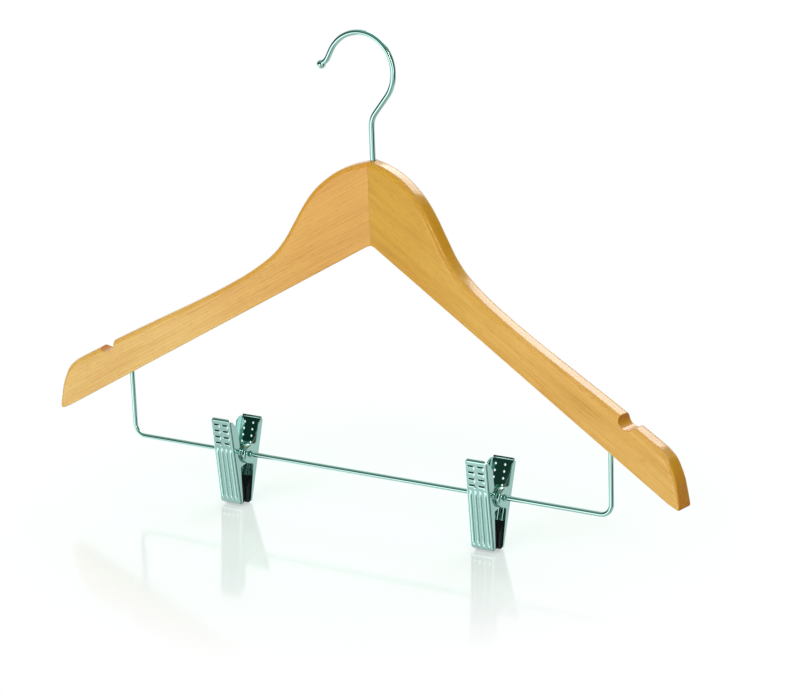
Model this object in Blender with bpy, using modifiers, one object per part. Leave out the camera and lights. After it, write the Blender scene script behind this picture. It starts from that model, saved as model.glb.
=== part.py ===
"""Wooden clothes hanger with a swivel hook, a wire trouser bar and two sprung steel clips.

Run it with blender --background --python part.py, or from Blender's text editor. Lengths are in
metres and +Z is up. The object's origin is the inside of the hook's crown, where a rail carries it.
The pieces are laid out in the hanger's own frame, whose origin is on the hook's swivel axis, level
with the point where the two straight lower edges of the arms would meet. +X runs along the trouser
bar to the viewer's right and the front of the hanger faces -Y.
"""
import math
from collections import namedtuple

import bmesh
import bpy
import numpy as np
from mathutils import Matrix, Vector

# Driving dimensions of the wooden arms
WOOD_THICKNESS = 0.0120
ARM_REACH = 0.2225
ARM_SWEEP = math.radians(9.0)
TIP_DROP = 0.1244
NECK_HEIGHT = 0.0500
TOP_ROUNDING = 0.0035
APEX_FILLET = 0.0010
GLUE_LINE = 0.0001
NOTCH_RADIUS = 0.0058
NOTCH_PLACE = 0.1867
NOTCH_LIFT = 0.0012

# Dowels that tie the mitred arms together
DOWEL_RADIUS = 0.0025
DOWEL_LENGTH = 0.0240
DOWEL_SETBACK = 0.0010

# Swivel hook
HOOK_WIRE_RADIUS = 0.0017
HOOK_LOOP_RADIUS = 0.0228
HOOK_RISE = 0.0529
HOOK_LEAN = 0.0066
HOOK_LOOP_START = math.radians(151.0)
HOOK_LOOP_END = math.radians(-38.6)
SHANK_BEND_RADIUS = 0.0140
HOOK_TIP_RUN = 0.0055
HOOK_TIP_BEND_RADIUS = 0.0060
HOOK_TIP_TURN = math.radians(25.0)
HOOK_TIP_END = 0.0035
HOOK_BALL_RADIUS = 0.0027
GROOVE_DEPTH = 0.0008
GROOVE_RISE = 0.0050
PIN_RADIUS = 0.0008
PIN_LENGTH = 0.0085
PIN_RECESS = 0.0006

# Trouser bar
BAR_RADIUS = 0.0015
BAR_HALF_SPAN = 0.1696
BAR_DROP = 0.1378
BAR_BEND_RADIUS = 0.0070
LEG_DEPTH = 0.0130

# Clips
LEFT_CLIP_PLACE = -0.0915
RIGHT_CLIP_PLACE = 0.0892
LEFT_CLIP_HANG = math.radians(-6.2)
RIGHT_CLIP_HANG = math.radians(-7.4)
SHEET = 0.0007
JAW_ANGLE = math.radians(12.9)
JAW_STANDOFF = 0.0125
JAW_WIDTH = 0.0153
JAW_FLARE = 0.0013
JAW_BOTTOM = 0.0297
FRONT_HANDLE = 0.0272
REAR_HANDLE = 0.0236
BEND_RADIUS = 0.0012
FRONT_FLANGE_DEPTH = 0.0067
REAR_FLANGE_DEPTH = 0.0050
LOWER_FLANGE_DEPTH = 0.0047
TOE_FLANGE_DEPTH = 0.0019
FRONT_SHOULDER_DROP = 0.0075
REAR_SHOULDER_DROP = 0.0042
EAR_RADIUS = 0.0061
LIP_RADIUS = 0.0015
LIP_TURN = math.radians(90.0)
MARK_LENGTH = 0.0050
MARK_HEIGHT = 0.0011
MARK_DEPTH = 0.00035
MARK_HOLE_RADIUS = 0.0007
MARK_HOLE_DROP = 0.0008
MARK_HOLE_REACH = 0.00055
MARK_SPREAD = 0.0066
MARK_PITCH = 0.0041
MARK_START = 0.0040
MARK_ROWS = 4
BEAD_RADIUS = 0.0010
BEAD_PROUD = 0.0005
BEAD_SPACING = 0.0033
BEAD_GAP = 0.0041
BEAD_MARGIN = 0.0034
BEAD_COUNT = 4
GROOVE_RADIUS = 0.0005

# Tubular rivet that carries both jaws and slides on the bar
RIVET_WALL = 0.0006
RIVET_HEAD_RADIUS = 0.0062
RIVET_HEAD_HEIGHT = 0.0016
RIVET_CROWN_RADIUS = 0.0043
RIVET_MOUTH_RADIUS = 0.0034

# Torsion spring
SPRING_WIRE_RADIUS = 0.00065
SPRING_LEG = 0.0150
SPRING_TOE = 0.0030
SPRING_LOOPS = 6

# Rubber pads
PAD_LENGTH = 0.0155
GRIP_LENGTH = 0.0080
PAD_TOP_THICKNESS = 0.0026
PAD_ROUNDING = 0.0016

# Clearances
FIT = 0.0003
OVERRUN = 0.0100

# Counts of points and sides
ARC_STEP = math.radians(9.0)
COIL_POINTS = 10
TURNED_SIDES = 24
HOLE_SIDES = 24
MARK_HOLE_SIDES = 12

# The top edge of an arm: shares of the reach along it, and of the neck's height above the lower edge
TOP_EDGE_SHARES = (
    (0.000, 1.000), (0.054, 1.072), (0.108, 1.098), (0.162, 1.044), (0.200, 0.930), (0.234, 0.768),
    (0.270, 0.606), (0.315, 0.506), (0.395, 0.454), (0.517, 0.452), (0.674, 0.492), (0.809, 0.526),
    (0.917, 0.540), (0.990, 0.560), (1.050, 0.560),
)
# The rounded end of an arm, in the same shares, from its top to its lower corner
TIP_SHARES = (
    (0.900, 0.600), (0.936, 0.546), (0.954, 0.524), (0.966, 0.494), (0.978, 0.416), (0.987, 0.330),
    (0.993, 0.220), (0.9975, 0.106), (0.9990, 0.048), (0.9960, 0.022), (0.9900, 0.012), (0.965, 0.000),
)

# How deep the hook's shank goes, as a share of the neck's height, and where the two dowels lie, as
# shares of the height that the shank leaves below it
SHANK_SHARE = 0.50
DOWEL_SHARES = (0.28, 0.72)

# A bead's thickness at its ends and along it
BEAD_TAPER_SHARES = (0.3, 1.0, 1.0, 0.3)

# How far up a rivet's head its rim and its inner lip lie
RIVET_RIM_SHARE = 0.25
RIVET_LIP_SHARE = 0.8

# Points closer than this share of the fit are one point
WELD_SHARE = 0.01

# The lower edge falls evenly from the mitre to the tip
LOWER_SLOPE = TIP_DROP / ARM_REACH
HALF_WOOD = WOOD_THICKNESS / 2.0
BAR_PLACE_Y = -BAR_HALF_SPAN * math.tan(ARM_SWEEP)
LEG_ALONG_ARM = BAR_HALF_SPAN / math.cos(ARM_SWEEP)
LEG_TOP = -LOWER_SLOPE * LEG_ALONG_ARM + LEG_DEPTH
HOOK_CENTRE = Vector((-HOOK_LEAN, 0.0, NECK_HEIGHT + HOOK_RISE))
CROWN = HOOK_CENTRE + Vector((0.0, 0.0, HOOK_LOOP_RADIUS - HOOK_WIRE_RADIUS))
SHANK_END = NECK_HEIGHT * (1.0 - SHANK_SHARE)
GROOVE_LEVEL = SHANK_END + GROOVE_RISE
GROOVE_FLOOR = HOOK_WIRE_RADIUS - GROOVE_DEPTH
PIN_PLACE_X = GROOVE_FLOOR + FIT + PIN_RADIUS
REAR_JAW_WIDTH = JAW_WIDTH + 2.0 * (SHEET + FIT)
RIVET_BORE = BAR_RADIUS + FIT
RIVET_RADIUS = RIVET_BORE + RIVET_WALL
RIVET_SEAT = REAR_JAW_WIDTH / 2.0 + FIT
COIL_RADIUS = RIVET_RADIUS + FIT + SPRING_WIRE_RADIUS
COIL_HALF_LENGTH = JAW_WIDTH / 2.0 - SHEET - FIT - SPRING_WIRE_RADIUS
LEG_REACH = JAW_STANDOFF - SHEET - FIT - SPRING_WIRE_RADIUS
LEG_LEAN = math.asin((LEG_REACH - COIL_RADIUS) / SPRING_LEG)

# What differs between the two jaws
Jaw = namedtuple("Jaw", "width handle flange shoulder")
FRONT_JAW = Jaw(JAW_WIDTH, FRONT_HANDLE, FRONT_FLANGE_DEPTH, FRONT_SHOULDER_DROP)
REAR_JAW = Jaw(REAR_JAW_WIDTH, REAR_HANDLE, REAR_FLANGE_DEPTH, REAR_SHOULDER_DROP)

# Colour, roughness and metallic value of each material
FINISHES = {
    "wood": ((0.760, 0.430, 0.138, 1.0), 0.35, 0.0),
    "dowel_wood": ((0.700, 0.500, 0.260, 1.0), 0.60, 0.0),
    "chrome": ((0.720, 0.800, 0.780, 1.0), 0.12, 1.0),
    "spring_steel": ((0.520, 0.560, 0.560, 1.0), 0.25, 1.0),
    "rubber": ((0.012, 0.013, 0.013, 1.0), 0.65, 0.0),
}


def clear_scene():
    """Remove every object of the open scene."""
    for item in list(bpy.data.objects):
        bpy.data.objects.remove(item, do_unlink=True)


def new_collection(name):
    """Return a new collection linked to the scene."""
    group = bpy.data.collections.new(name)
    bpy.context.scene.collection.children.link(group)
    return group


def new_material(name, finish):
    """Return a Principled material for one piece."""
    colour, roughness, metallic = FINISHES[finish]
    material = bpy.data.materials.new(name)
    material.use_nodes = True
    shader = material.node_tree.nodes["Principled BSDF"]
    shader.inputs["Base Color"].default_value = colour
    shader.inputs["Roughness"].default_value = roughness
    shader.inputs["Metallic"].default_value = metallic
    return material


def finish_part(item, name, finish, parent):
    """Name a part, give it its own material and hang it on its parent."""
    item.name = name
    item.data.name = name
    item.data.materials.clear()
    item.data.materials.append(new_material(name, finish))
    item.parent = parent
    return item


def new_empty(name, location, parent=None, turn=(0.0, 0.0, 0.0)):
    """Return an empty that carries other objects."""
    empty = bpy.data.objects.new(name, None)
    empty.location = location
    empty.rotation_euler = turn
    empty.parent = parent
    PARTS.objects.link(empty)
    return empty


def object_from_bmesh(shape, name, group):
    """Return a smooth-shaded object made from a bmesh, which is freed."""
    bmesh.ops.recalc_face_normals(shape, faces=shape.faces)
    mesh = bpy.data.meshes.new(name)
    shape.to_mesh(mesh)
    shape.free()
    mesh.shade_smooth()
    mesh.set_sharp_from_angle(angle=math.radians(35.0))
    item = bpy.data.objects.new(name, mesh)
    group.objects.link(item)
    return item


def mesh_object(curve_item, name, group, placing=None):
    """Turn a curve object into a welded mesh object, moved by a matrix, and remove the curve."""
    depsgraph = bpy.context.evaluated_depsgraph_get()
    mesh = bpy.data.meshes.new_from_object(curve_item.evaluated_get(depsgraph))
    shape = bmesh.new()
    shape.from_mesh(mesh)
    bmesh.ops.remove_doubles(shape, verts=shape.verts, dist=FIT * WELD_SHARE)
    bmesh.ops.transform(shape, matrix=placing or Matrix.Identity(4), verts=shape.verts)
    bpy.data.meshes.remove(mesh)
    bpy.data.objects.remove(curve_item, do_unlink=True)
    return object_from_bmesh(shape, name, group)


def wire(name, points, radius, resolution, radii=None):
    """Return a round wire as a curve object along the points."""
    curve = bpy.data.curves.new(name, "CURVE")
    curve.dimensions = "3D"
    curve.bevel_depth = radius
    curve.bevel_resolution = resolution
    curve.use_fill_caps = True
    spline = curve.splines.new("POLY")
    spline.points.add(len(points) - 1)
    for index, point in enumerate(points):
        spline.points[index].co = (*point, 1.0)
        spline.points[index].radius = 1.0 if radii is None else radii[index]
    item = bpy.data.objects.new(name, curve)
    PARTS.objects.link(item)
    bpy.context.view_layer.update()
    return item


def plate(name, outline, half_thickness, rounding=0.0):
    """Return a filled flat outline in the XY plane, extruded both ways along Z."""
    curve = bpy.data.curves.new(name, "CURVE")
    curve.dimensions = "2D"
    curve.fill_mode = "BOTH"
    curve.extrude = half_thickness - rounding
    curve.bevel_depth = rounding
    curve.offset = -rounding
    curve.bevel_resolution = 2
    spline = curve.splines.new("POLY")
    spline.points.add(len(outline) - 1)
    for index, (across, up) in enumerate(outline):
        spline.points[index].co = (across, up, 0.0, 1.0)
    spline.use_cyclic_u = True
    item = bpy.data.objects.new(name, curve)
    PARTS.objects.link(item)
    bpy.context.view_layer.update()
    return item


def smooth_through(points, steps):
    """Return points on an even Catmull-Rom curve through the given points, steps to a span."""
    path = np.array(points)
    padded = np.vstack([2.0 * path[0] - path[1], path, 2.0 * path[-1] - path[-2]])
    found = []
    for before, start, end, after in zip(padded[:-3], padded[1:-2], padded[2:-1], padded[3:]):
        for share in np.arange(steps) / steps:
            square = share * share
            cube = square * share
            found.append(0.5 * (2.0 * start + (end - before) * share
                                + (2.0 * before - 5.0 * start + 4.0 * end - after) * square
                                + (3.0 * start - before - 3.0 * end + after) * cube))
    found.append(path[-1])
    return [tuple(point) for point in found]


def arc(centre, radius, first, last):
    """Return points on an arc in a plane, from the first angle to the last."""
    count = max(2, int(math.ceil(abs(last - first) / ARC_STEP)))
    angles = [first + (last - first) * step / count for step in range(count + 1)]
    return [(centre[0] + radius * math.cos(turn), centre[1] + radius * math.sin(turn)) for turn in angles]


def add_rod(shape, start, end, radius, sides=HOLE_SIDES):
    """Add a capped cylinder from start to end to a bmesh."""
    axis = Vector(end) - Vector(start)
    turn = axis.to_track_quat("Z", "Y").to_matrix().to_4x4()
    placing = Matrix.Translation((Vector(start) + Vector(end)) / 2.0) @ turn
    bmesh.ops.create_cone(shape, cap_ends=True, segments=sides, radius1=radius, radius2=radius,
                          depth=axis.length, matrix=placing)


def add_box(shape, low, high):
    """Add a box between two corners to a bmesh."""
    size = Vector(high) - Vector(low)
    placing = Matrix.Translation((Vector(low) + Vector(high)) / 2.0) @ Matrix.Diagonal((*size, 1.0))
    bmesh.ops.create_cube(shape, size=1.0, matrix=placing)


def combine(target, other, operation):
    """Add a Boolean modifier and put its other object away as a guide."""
    modifier = target.modifiers.new(other.name, "BOOLEAN")
    modifier.operation = operation
    modifier.solver = "EXACT"
    modifier.object = other
    if other.name not in CUTTERS.objects:
        for group in list(other.users_collection):
            group.objects.unlink(other)
        CUTTERS.objects.link(other)
    other.hide_render = True
    other.display_type = "WIRE"


def cut(target, cutter):
    """Cut one object out of another."""
    combine(target, cutter, "DIFFERENCE")


# Standing matrix: the outline's X and Y become X and Z, and its thickness lies along Y
UPRIGHT = Matrix.Rotation(math.radians(90.0), 4, "X")
# Side matrix: the outline's X and Y become Y and Z, and its thickness lies along X
SIDEWAYS = Matrix(((0.0, 0.0, 1.0, 0.0), (1.0, 0.0, 0.0, 0.0), (0.0, 1.0, 0.0, 0.0), (0.0, 0.0, 0.0, 1.0)))


def arm_point(share_along, share_up):
    """Return a point of an arm's outline from its shares of the reach and of the neck's height."""
    along = share_along * ARM_REACH
    return along, share_up * NECK_HEIGHT - LOWER_SLOPE * along


def arm_blank(side):
    """Return an arm as a thick plate with a rounded top, longer and deeper than the finished arm."""
    top = smooth_through([arm_point(*shares) for shares in TOP_EDGE_SHARES], 3)
    crown = (-OVERRUN, NECK_HEIGHT)
    far = (top[-1][0], top[-1][1] - NECK_HEIGHT)
    near = (-OVERRUN, -OVERRUN)
    outline = [(side * along, up) for along, up in [crown, *top, far, near]]
    return mesh_object(plate("arm_blank", outline, HALF_WOOD, TOP_ROUNDING), "arm_blank", PARTS, UPRIGHT)


def arm_trim(side):
    """Return the cutter that trims an arm's lower edge and its end."""
    tip = smooth_through([arm_point(*shares) for shares in reversed(TIP_SHARES)], 2)
    outside = ARM_REACH + NECK_HEIGHT
    run_out = (tip[-1][0] - OVERRUN, tip[-1][1] + OVERRUN)
    fillet_end = APEX_FILLET / LOWER_SLOPE
    outline = [(-2.0 * OVERRUN, -APEX_FILLET), (0.0, -APEX_FILLET),
               (2.0 * fillet_end, -2.0 * fillet_end * LOWER_SLOPE), *tip, run_out,
               (outside, tip[-1][1] + NECK_HEIGHT), (outside, -TIP_DROP - NECK_HEIGHT),
               (-2.0 * OVERRUN, -TIP_DROP - NECK_HEIGHT)]
    outline = [(side * along, up) for along, up in outline]
    return mesh_object(plate("arm_trim", outline, WOOD_THICKNESS), "arm_trim", PARTS, UPRIGHT)


def mitre_cutter(side):
    """Return the block that cuts an arm off at the middle of the hanger."""
    shape = bmesh.new()
    inner = side * GLUE_LINE / 2.0
    outer = -side * (ARM_REACH / 2.0)
    deep = NECK_HEIGHT + OVERRUN
    add_box(shape, (min(inner, outer), -deep, -TIP_DROP), (max(inner, outer), deep, NECK_HEIGHT + deep))
    return object_from_bmesh(shape, "mitre", CUTTERS)


def dowel_levels():
    """Return the heights of the two dowels."""
    return [share * SHANK_END for share in DOWEL_SHARES]


def joint_bores():
    """Return the cutter for the shank's bore, the dowels' holes and the bar's holes."""
    shape = bmesh.new()
    add_rod(shape, (0.0, 0.0, SHANK_END - 2.0 * FIT), (0.0, 0.0, NECK_HEIGHT + OVERRUN),
            HOOK_WIRE_RADIUS + FIT)
    for level in dowel_levels():
        half = DOWEL_LENGTH / 2.0 + FIT
        add_rod(shape, (-half, -DOWEL_SETBACK, level), (half, -DOWEL_SETBACK, level), DOWEL_RADIUS + FIT)
    for side in (-1.0, 1.0):
        add_rod(shape, (side * BAR_HALF_SPAN, BAR_PLACE_Y, LEG_TOP - LEG_DEPTH - OVERRUN),
                (side * BAR_HALF_SPAN, BAR_PLACE_Y, LEG_TOP + FIT), BAR_RADIUS + FIT)
    return object_from_bmesh(shape, "joint_bores", CUTTERS)


def pin_bore():
    """Return the cutter for the retaining pin's hole, which runs into the shank's bore."""
    shape = bmesh.new()
    add_rod(shape, (PIN_PLACE_X, pin_front() - FIT, GROOVE_LEVEL),
            (PIN_PLACE_X, HALF_WOOD + OVERRUN, GROOVE_LEVEL), PIN_RADIUS + FIT)
    return object_from_bmesh(shape, "pin_bore", CUTTERS)


def notch_cutter(side):
    """Return the rod that cuts the strap notch, in the arm's own frame."""
    shape = bmesh.new()
    surface = np.interp(NOTCH_PLACE / ARM_REACH, *np.array(TOP_EDGE_SHARES).T)
    along, up = arm_point(NOTCH_PLACE / ARM_REACH, surface)
    start = (side * along, -WOOD_THICKNESS, up + NOTCH_LIFT)
    add_rod(shape, start, (side * along, WOOD_THICKNESS, up + NOTCH_LIFT), NOTCH_RADIUS)
    return object_from_bmesh(shape, "notch", CUTTERS)


def make_arm(name, side, hanger, bores):
    """Make one arm, swept forwards from the mitre and trimmed, notched and bored."""
    item = arm_blank(side)
    item.rotation_euler.z = -side * ARM_SWEEP
    finish_part(item, name, "wood", hanger)
    for cutter in (arm_trim(side), notch_cutter(side)):
        cutter.parent = item
        cut(item, cutter)
    mitre = mitre_cutter(side)
    mitre.parent = hanger
    cut(item, mitre)
    for bore in bores:
        cut(item, bore)


def pin_front():
    """Return how far forward the retaining pin reaches."""
    return HALF_WOOD - PIN_RECESS - PIN_LENGTH


def make_joint_pieces(hanger):
    """Make the dowels across the mitre and the pin that holds the hook in."""
    for name, level in zip(("joint_dowel_lower", "joint_dowel_upper"), dowel_levels()):
        shape = bmesh.new()
        half = DOWEL_LENGTH / 2.0
        add_rod(shape, (-half, -DOWEL_SETBACK, level), (half, -DOWEL_SETBACK, level), DOWEL_RADIUS)
        finish_part(object_from_bmesh(shape, name, PARTS), name, "dowel_wood", hanger)
    shape = bmesh.new()
    add_rod(shape, (PIN_PLACE_X, pin_front(), GROOVE_LEVEL),
            (PIN_PLACE_X, HALF_WOOD - PIN_RECESS, GROOVE_LEVEL), PIN_RADIUS)
    finish_part(object_from_bmesh(shape, "hook_retaining_pin", PARTS), "hook_retaining_pin",
                "spring_steel", hanger)


def hook_path():
    """Return the hook's centre line from the ball end, round the loop and down the shank."""
    centre = (HOOK_CENTRE.x, HOOK_CENTRE.z)
    loop = arc(centre, HOOK_LOOP_RADIUS, HOOK_LOOP_START, HOOK_LOOP_END)
    heading = np.array((-math.sin(HOOK_LOOP_START), math.cos(HOOK_LOOP_START)))
    bend_start = np.array(loop[0]) + heading * HOOK_TIP_RUN
    bend_centre = bend_start + HOOK_TIP_BEND_RADIUS * np.array((heading[1], -heading[0]))
    first = math.atan2(*(bend_start - bend_centre)[::-1])
    bend = arc(bend_centre, HOOK_TIP_BEND_RADIUS, first, first - HOOK_TIP_TURN)
    final = np.array((heading[0] * math.cos(HOOK_TIP_TURN) + heading[1] * math.sin(HOOK_TIP_TURN),
                      heading[1] * math.cos(HOOK_TIP_TURN) - heading[0] * math.sin(HOOK_TIP_TURN)))
    ball = np.array(bend[-1]) + final * HOOK_TIP_END
    lean = abs(HOOK_LOOP_END)
    run = (loop[-1][0] - SHANK_BEND_RADIUS * (1.0 - math.cos(lean))) / math.sin(lean)
    low = loop[-1][1] - run * math.cos(lean) - SHANK_BEND_RADIUS * math.sin(lean)
    shank = arc((SHANK_BEND_RADIUS, low), SHANK_BEND_RADIUS, math.pi - lean, math.pi)
    flat = [tuple(ball), *reversed(bend), *loop, *shank, (0.0, SHANK_END)]
    return [(across, 0.0, up) for across, up in flat]


def make_hook(origin):
    """Make the swivel hook: a bent wire with a ball end and a grooved shank."""
    path = hook_path()
    item = mesh_object(wire("hook", path, HOOK_WIRE_RADIUS, 2), "hook", PARTS)
    finish_part(item, "hook", "chrome", origin)
    shape = bmesh.new()
    bmesh.ops.create_uvsphere(shape, u_segments=16, v_segments=10, radius=HOOK_BALL_RADIUS,
                              matrix=Matrix.Translation(path[0]))
    ball = object_from_bmesh(shape, "hook_ball", CUTTERS)
    ball.parent = origin
    combine(item, ball, "UNION")
    groove = turned("groove", [(GROOVE_FLOOR, PIN_RADIUS + FIT), (2.0 * HOOK_WIRE_RADIUS, PIN_RADIUS + FIT),
                               (2.0 * HOOK_WIRE_RADIUS, -PIN_RADIUS - FIT),
                               (GROOVE_FLOOR, -PIN_RADIUS - FIT)], CUTTERS)
    groove.location.z = GROOVE_LEVEL
    groove.parent = origin
    cut(item, groove)


def turned(name, profile, group):
    """Return a ring turned about Z from a closed profile of radius and height."""
    mesh = bpy.data.meshes.new(name)
    corners = [(radius, 0.0, level) for radius, level in profile]
    edges = [(index, (index + 1) % len(corners)) for index in range(len(corners))]
    mesh.from_pydata(corners, edges, [])
    item = bpy.data.objects.new(name, mesh)
    group.objects.link(item)
    screw = item.modifiers.new("turn", "SCREW")
    screw.axis = "Z"
    screw.steps = TURNED_SIDES
    screw.render_steps = TURNED_SIDES
    screw.use_merge_vertices = True
    screw.merge_threshold = FIT * WELD_SHARE
    screw.use_smooth_shade = True
    return item


def make_bar(hanger):
    """Make the trouser bar: one wire bent up at both ends into the arms."""
    corner = BAR_HALF_SPAN - BAR_BEND_RADIUS
    level = -BAR_DROP + BAR_BEND_RADIUS
    left = arc((-corner, level), BAR_BEND_RADIUS, math.pi, 1.5 * math.pi)
    right = arc((corner, level), BAR_BEND_RADIUS, 1.5 * math.pi, 2.0 * math.pi)
    flat = [(-BAR_HALF_SPAN, LEG_TOP), *left, *right, (BAR_HALF_SPAN, LEG_TOP)]
    path = [(across, BAR_PLACE_Y, up) for across, up in flat]
    finish_part(wire("trouser_bar", path, BAR_RADIUS, 2), "trouser_bar", "chrome", hanger)


def flare(item):
    """Widen a jaw's piece evenly from its handle to its foot, and return it."""
    share = JAW_FLARE / JAW_WIDTH
    for vertex in item.data.vertices:
        vertex.co.x *= 1.0 - share * vertex.co.z / (FRONT_HANDLE + JAW_BOTTOM)
    return item


def channel(jaw):
    """Return a U-shaped channel of sheet, its web facing -Y and its flanges reaching past the pivot."""
    half = jaw.width / 2.0
    web = -JAW_STANDOFF
    reach = 2.0 * EAR_RADIUS
    bottom = -JAW_BOTTOM
    top = jaw.handle - LIP_RADIUS
    corner = half - BEND_RADIUS
    inside = BEND_RADIUS - SHEET
    outline = [(-half, reach), *arc((-corner, web + BEND_RADIUS), BEND_RADIUS, math.pi, 1.5 * math.pi),
               *arc((corner, web + BEND_RADIUS), BEND_RADIUS, 1.5 * math.pi, 2.0 * math.pi),
               (half, reach), (half - SHEET, reach),
               *arc((corner, web + BEND_RADIUS), inside, 2.0 * math.pi, 1.5 * math.pi),
               *arc((-corner, web + BEND_RADIUS), inside, 1.5 * math.pi, math.pi),
               (-half + SHEET, reach)]
    middle = Matrix.Translation((0.0, 0.0, (top + bottom) / 2.0))
    return flare(mesh_object(plate("channel", outline, (top - bottom) / 2.0), "channel", PARTS, middle))


def side_outline(jaw):
    """Return the side view of a jaw: web, handle flange, round ear and tapered lower flange."""
    web = -JAW_STANDOFF
    top = jaw.handle - LIP_RADIUS
    bottom = -JAW_BOTTOM
    toe = TOE_FLANGE_DEPTH
    ear = arc((0.0, 0.0), EAR_RADIUS, 0.5 * math.pi, -0.5 * math.pi)
    return [(web - OVERRUN, bottom), (web - OVERRUN, top), (web + toe, top),
            (web + jaw.flange, jaw.handle - jaw.shoulder), (web + jaw.flange, EAR_RADIUS + FIT),
            *ear, (web + LOWER_FLANGE_DEPTH, -EAR_RADIUS), (web + toe, bottom + toe), (web + toe, bottom)]


def side_prism(jaw):
    """Return the jaw's side view as a prism wider than the jaw."""
    return mesh_object(plate("side_view", side_outline(jaw), jaw.width), "side_view", PARTS, SIDEWAYS)


def rolled_lip(jaw):
    """Return the strip that rolls the top of a handle inwards, the way fingers meet it."""
    centre = (-JAW_STANDOFF + LIP_RADIUS, jaw.handle - LIP_RADIUS)
    outer = arc(centre, LIP_RADIUS, math.pi, math.pi - LIP_TURN)
    inner = arc(centre, LIP_RADIUS - SHEET, math.pi - LIP_TURN, math.pi)
    foot = centre[1] - SHEET
    outline = [(outer[0][0], foot), *outer, *inner, (inner[-1][0], foot)]
    half = jaw.width / 2.0 - BEND_RADIUS
    return flare(mesh_object(plate("lip", outline, half), "lip", PARTS, SIDEWAYS))


def mark_levels(jaw):
    """Return the heights of a jaw's rows of grip marks, from the top down."""
    return [jaw.handle - MARK_START - row * MARK_PITCH for row in range(MARK_ROWS)]


def bead_places():
    """Return the beads' places across a jaw."""
    return [(index - (BEAD_COUNT - 1) / 2.0) * BEAD_SPACING for index in range(BEAD_COUNT)]


def bead_rods(name, jaw, radius, depth):
    """Return a bmesh of tapered rods, one to a bead, with their axes at a depth in the web."""
    rods = bmesh.new()
    low = -JAW_BOTTOM + BEAD_MARGIN
    high = mark_levels(jaw)[-1] - BEAD_GAP
    taper = 2.0 * BEAD_RADIUS
    levels = (low, low + taper, high - taper, high)
    for place in bead_places():
        path = [(place, -JAW_STANDOFF + depth, level) for level in levels]
        rod = mesh_object(wire(name, path, radius, 2, BEAD_TAPER_SHARES), name, CUTTERS)
        rods.from_mesh(rod.data)
        bpy.data.objects.remove(rod, do_unlink=True)
    return rods


def beads(jaw):
    """Return a jaw's stiffening beads, flat at the back where they lie inside the web."""
    rods = bead_rods("beads", jaw, BEAD_RADIUS, BEAD_RADIUS - BEAD_PROUD)
    whole = [*rods.verts, *rods.edges, *rods.faces]
    bmesh.ops.bisect_plane(rods, geom=whole, plane_co=(0.0, -JAW_STANDOFF + SHEET / 2.0, 0.0),
                           plane_no=(0.0, 1.0, 0.0), clear_outer=True)
    bmesh.ops.holes_fill(rods, edges=[edge for edge in rods.edges if edge.is_boundary])
    return object_from_bmesh(rods, "beads", CUTTERS)


def grooves(jaw):
    """Return the cutter for the hollows that the beads leave inside the web."""
    return object_from_bmesh(bead_rods("grooves", jaw, GROOVE_RADIUS, SHEET), "grooves", CUTTERS)


def mark_places(jaw):
    """Return the place across a jaw and the height of each of its grip marks."""
    return [(column * MARK_SPREAD, level) for column in (-0.5, 0.5) for level in mark_levels(jaw)]


def jaw_marks(jaw):
    """Return the cutter for a jaw's grip marks, short grooves pressed part way into the web."""
    shape = bmesh.new()
    for across, level in mark_places(jaw):
        end = across + MARK_LENGTH / 2.0 - MARK_HOLE_REACH
        add_box(shape, (across - MARK_LENGTH / 2.0, -JAW_STANDOFF - OVERRUN, level - MARK_HEIGHT / 2.0),
                (end, -JAW_STANDOFF + MARK_DEPTH, level + MARK_HEIGHT / 2.0))
    return object_from_bmesh(shape, "jaw_marks", CUTTERS)


def jaw_holes(jaw):
    """Return the cutter for the small hole at the end of each grip mark and for the rivet's holes."""
    shape = bmesh.new()
    for across, level in mark_places(jaw):
        place = across + MARK_LENGTH / 2.0 - MARK_HOLE_RADIUS
        drop = level - MARK_HOLE_DROP
        add_rod(shape, (place, -JAW_STANDOFF - OVERRUN, drop), (place, -JAW_STANDOFF + 2.0 * SHEET, drop),
                MARK_HOLE_RADIUS, MARK_HOLE_SIDES)
    add_rod(shape, (-jaw.width, 0.0, 0.0), (jaw.width, 0.0, 0.0), RIVET_RADIUS + FIT)
    return object_from_bmesh(shape, "jaw_holes", CUTTERS)


def make_jaw(name, jaw, pivot, turn):
    """Make one pressed jaw, standing on the pivot's axis and turned to its place."""
    item = channel(jaw)
    item.rotation_euler = turn
    finish_part(item, name, "chrome", pivot)
    steps = ((side_prism(jaw), "INTERSECT"), (rolled_lip(jaw), "UNION"), (beads(jaw), "UNION"),
             (grooves(jaw), "DIFFERENCE"), (jaw_marks(jaw), "DIFFERENCE"), (jaw_holes(jaw), "DIFFERENCE"))
    for other, operation in steps:
        other.parent = item
        combine(item, other, operation)


def pad_outline():
    """Return the side view of a pad: flat on the jaw, square to the other pad, round at the foot."""
    back = -JAW_STANDOFF + SHEET + FIT
    bottom = -JAW_BOTTOM

    def grip(level):
        return (level * math.sin(JAW_ANGLE) - FIT / 2.0) / math.cos(JAW_ANGLE)

    foot = grip(bottom + PAD_ROUNDING)
    heel = arc((back + PAD_ROUNDING, bottom + PAD_ROUNDING), PAD_ROUNDING, math.pi, 1.5 * math.pi)
    toe = arc((foot - PAD_ROUNDING, bottom + PAD_ROUNDING), PAD_ROUNDING, 1.5 * math.pi, 2.0 * math.pi)
    return [*heel, *toe, (grip(bottom + GRIP_LENGTH), bottom + GRIP_LENGTH),
            (back + PAD_TOP_THICKNESS, bottom + PAD_LENGTH), (back, bottom + PAD_LENGTH)]


def make_pad(name, jaw, pivot, turn):
    """Make one rubber pad between a jaw's flanges."""
    half = jaw.width / 2.0 - SHEET - FIT
    item = flare(mesh_object(plate(name, pad_outline(), half), name, PARTS, SIDEWAYS))
    item.rotation_euler = turn
    finish_part(item, name, "rubber", pivot)


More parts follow.
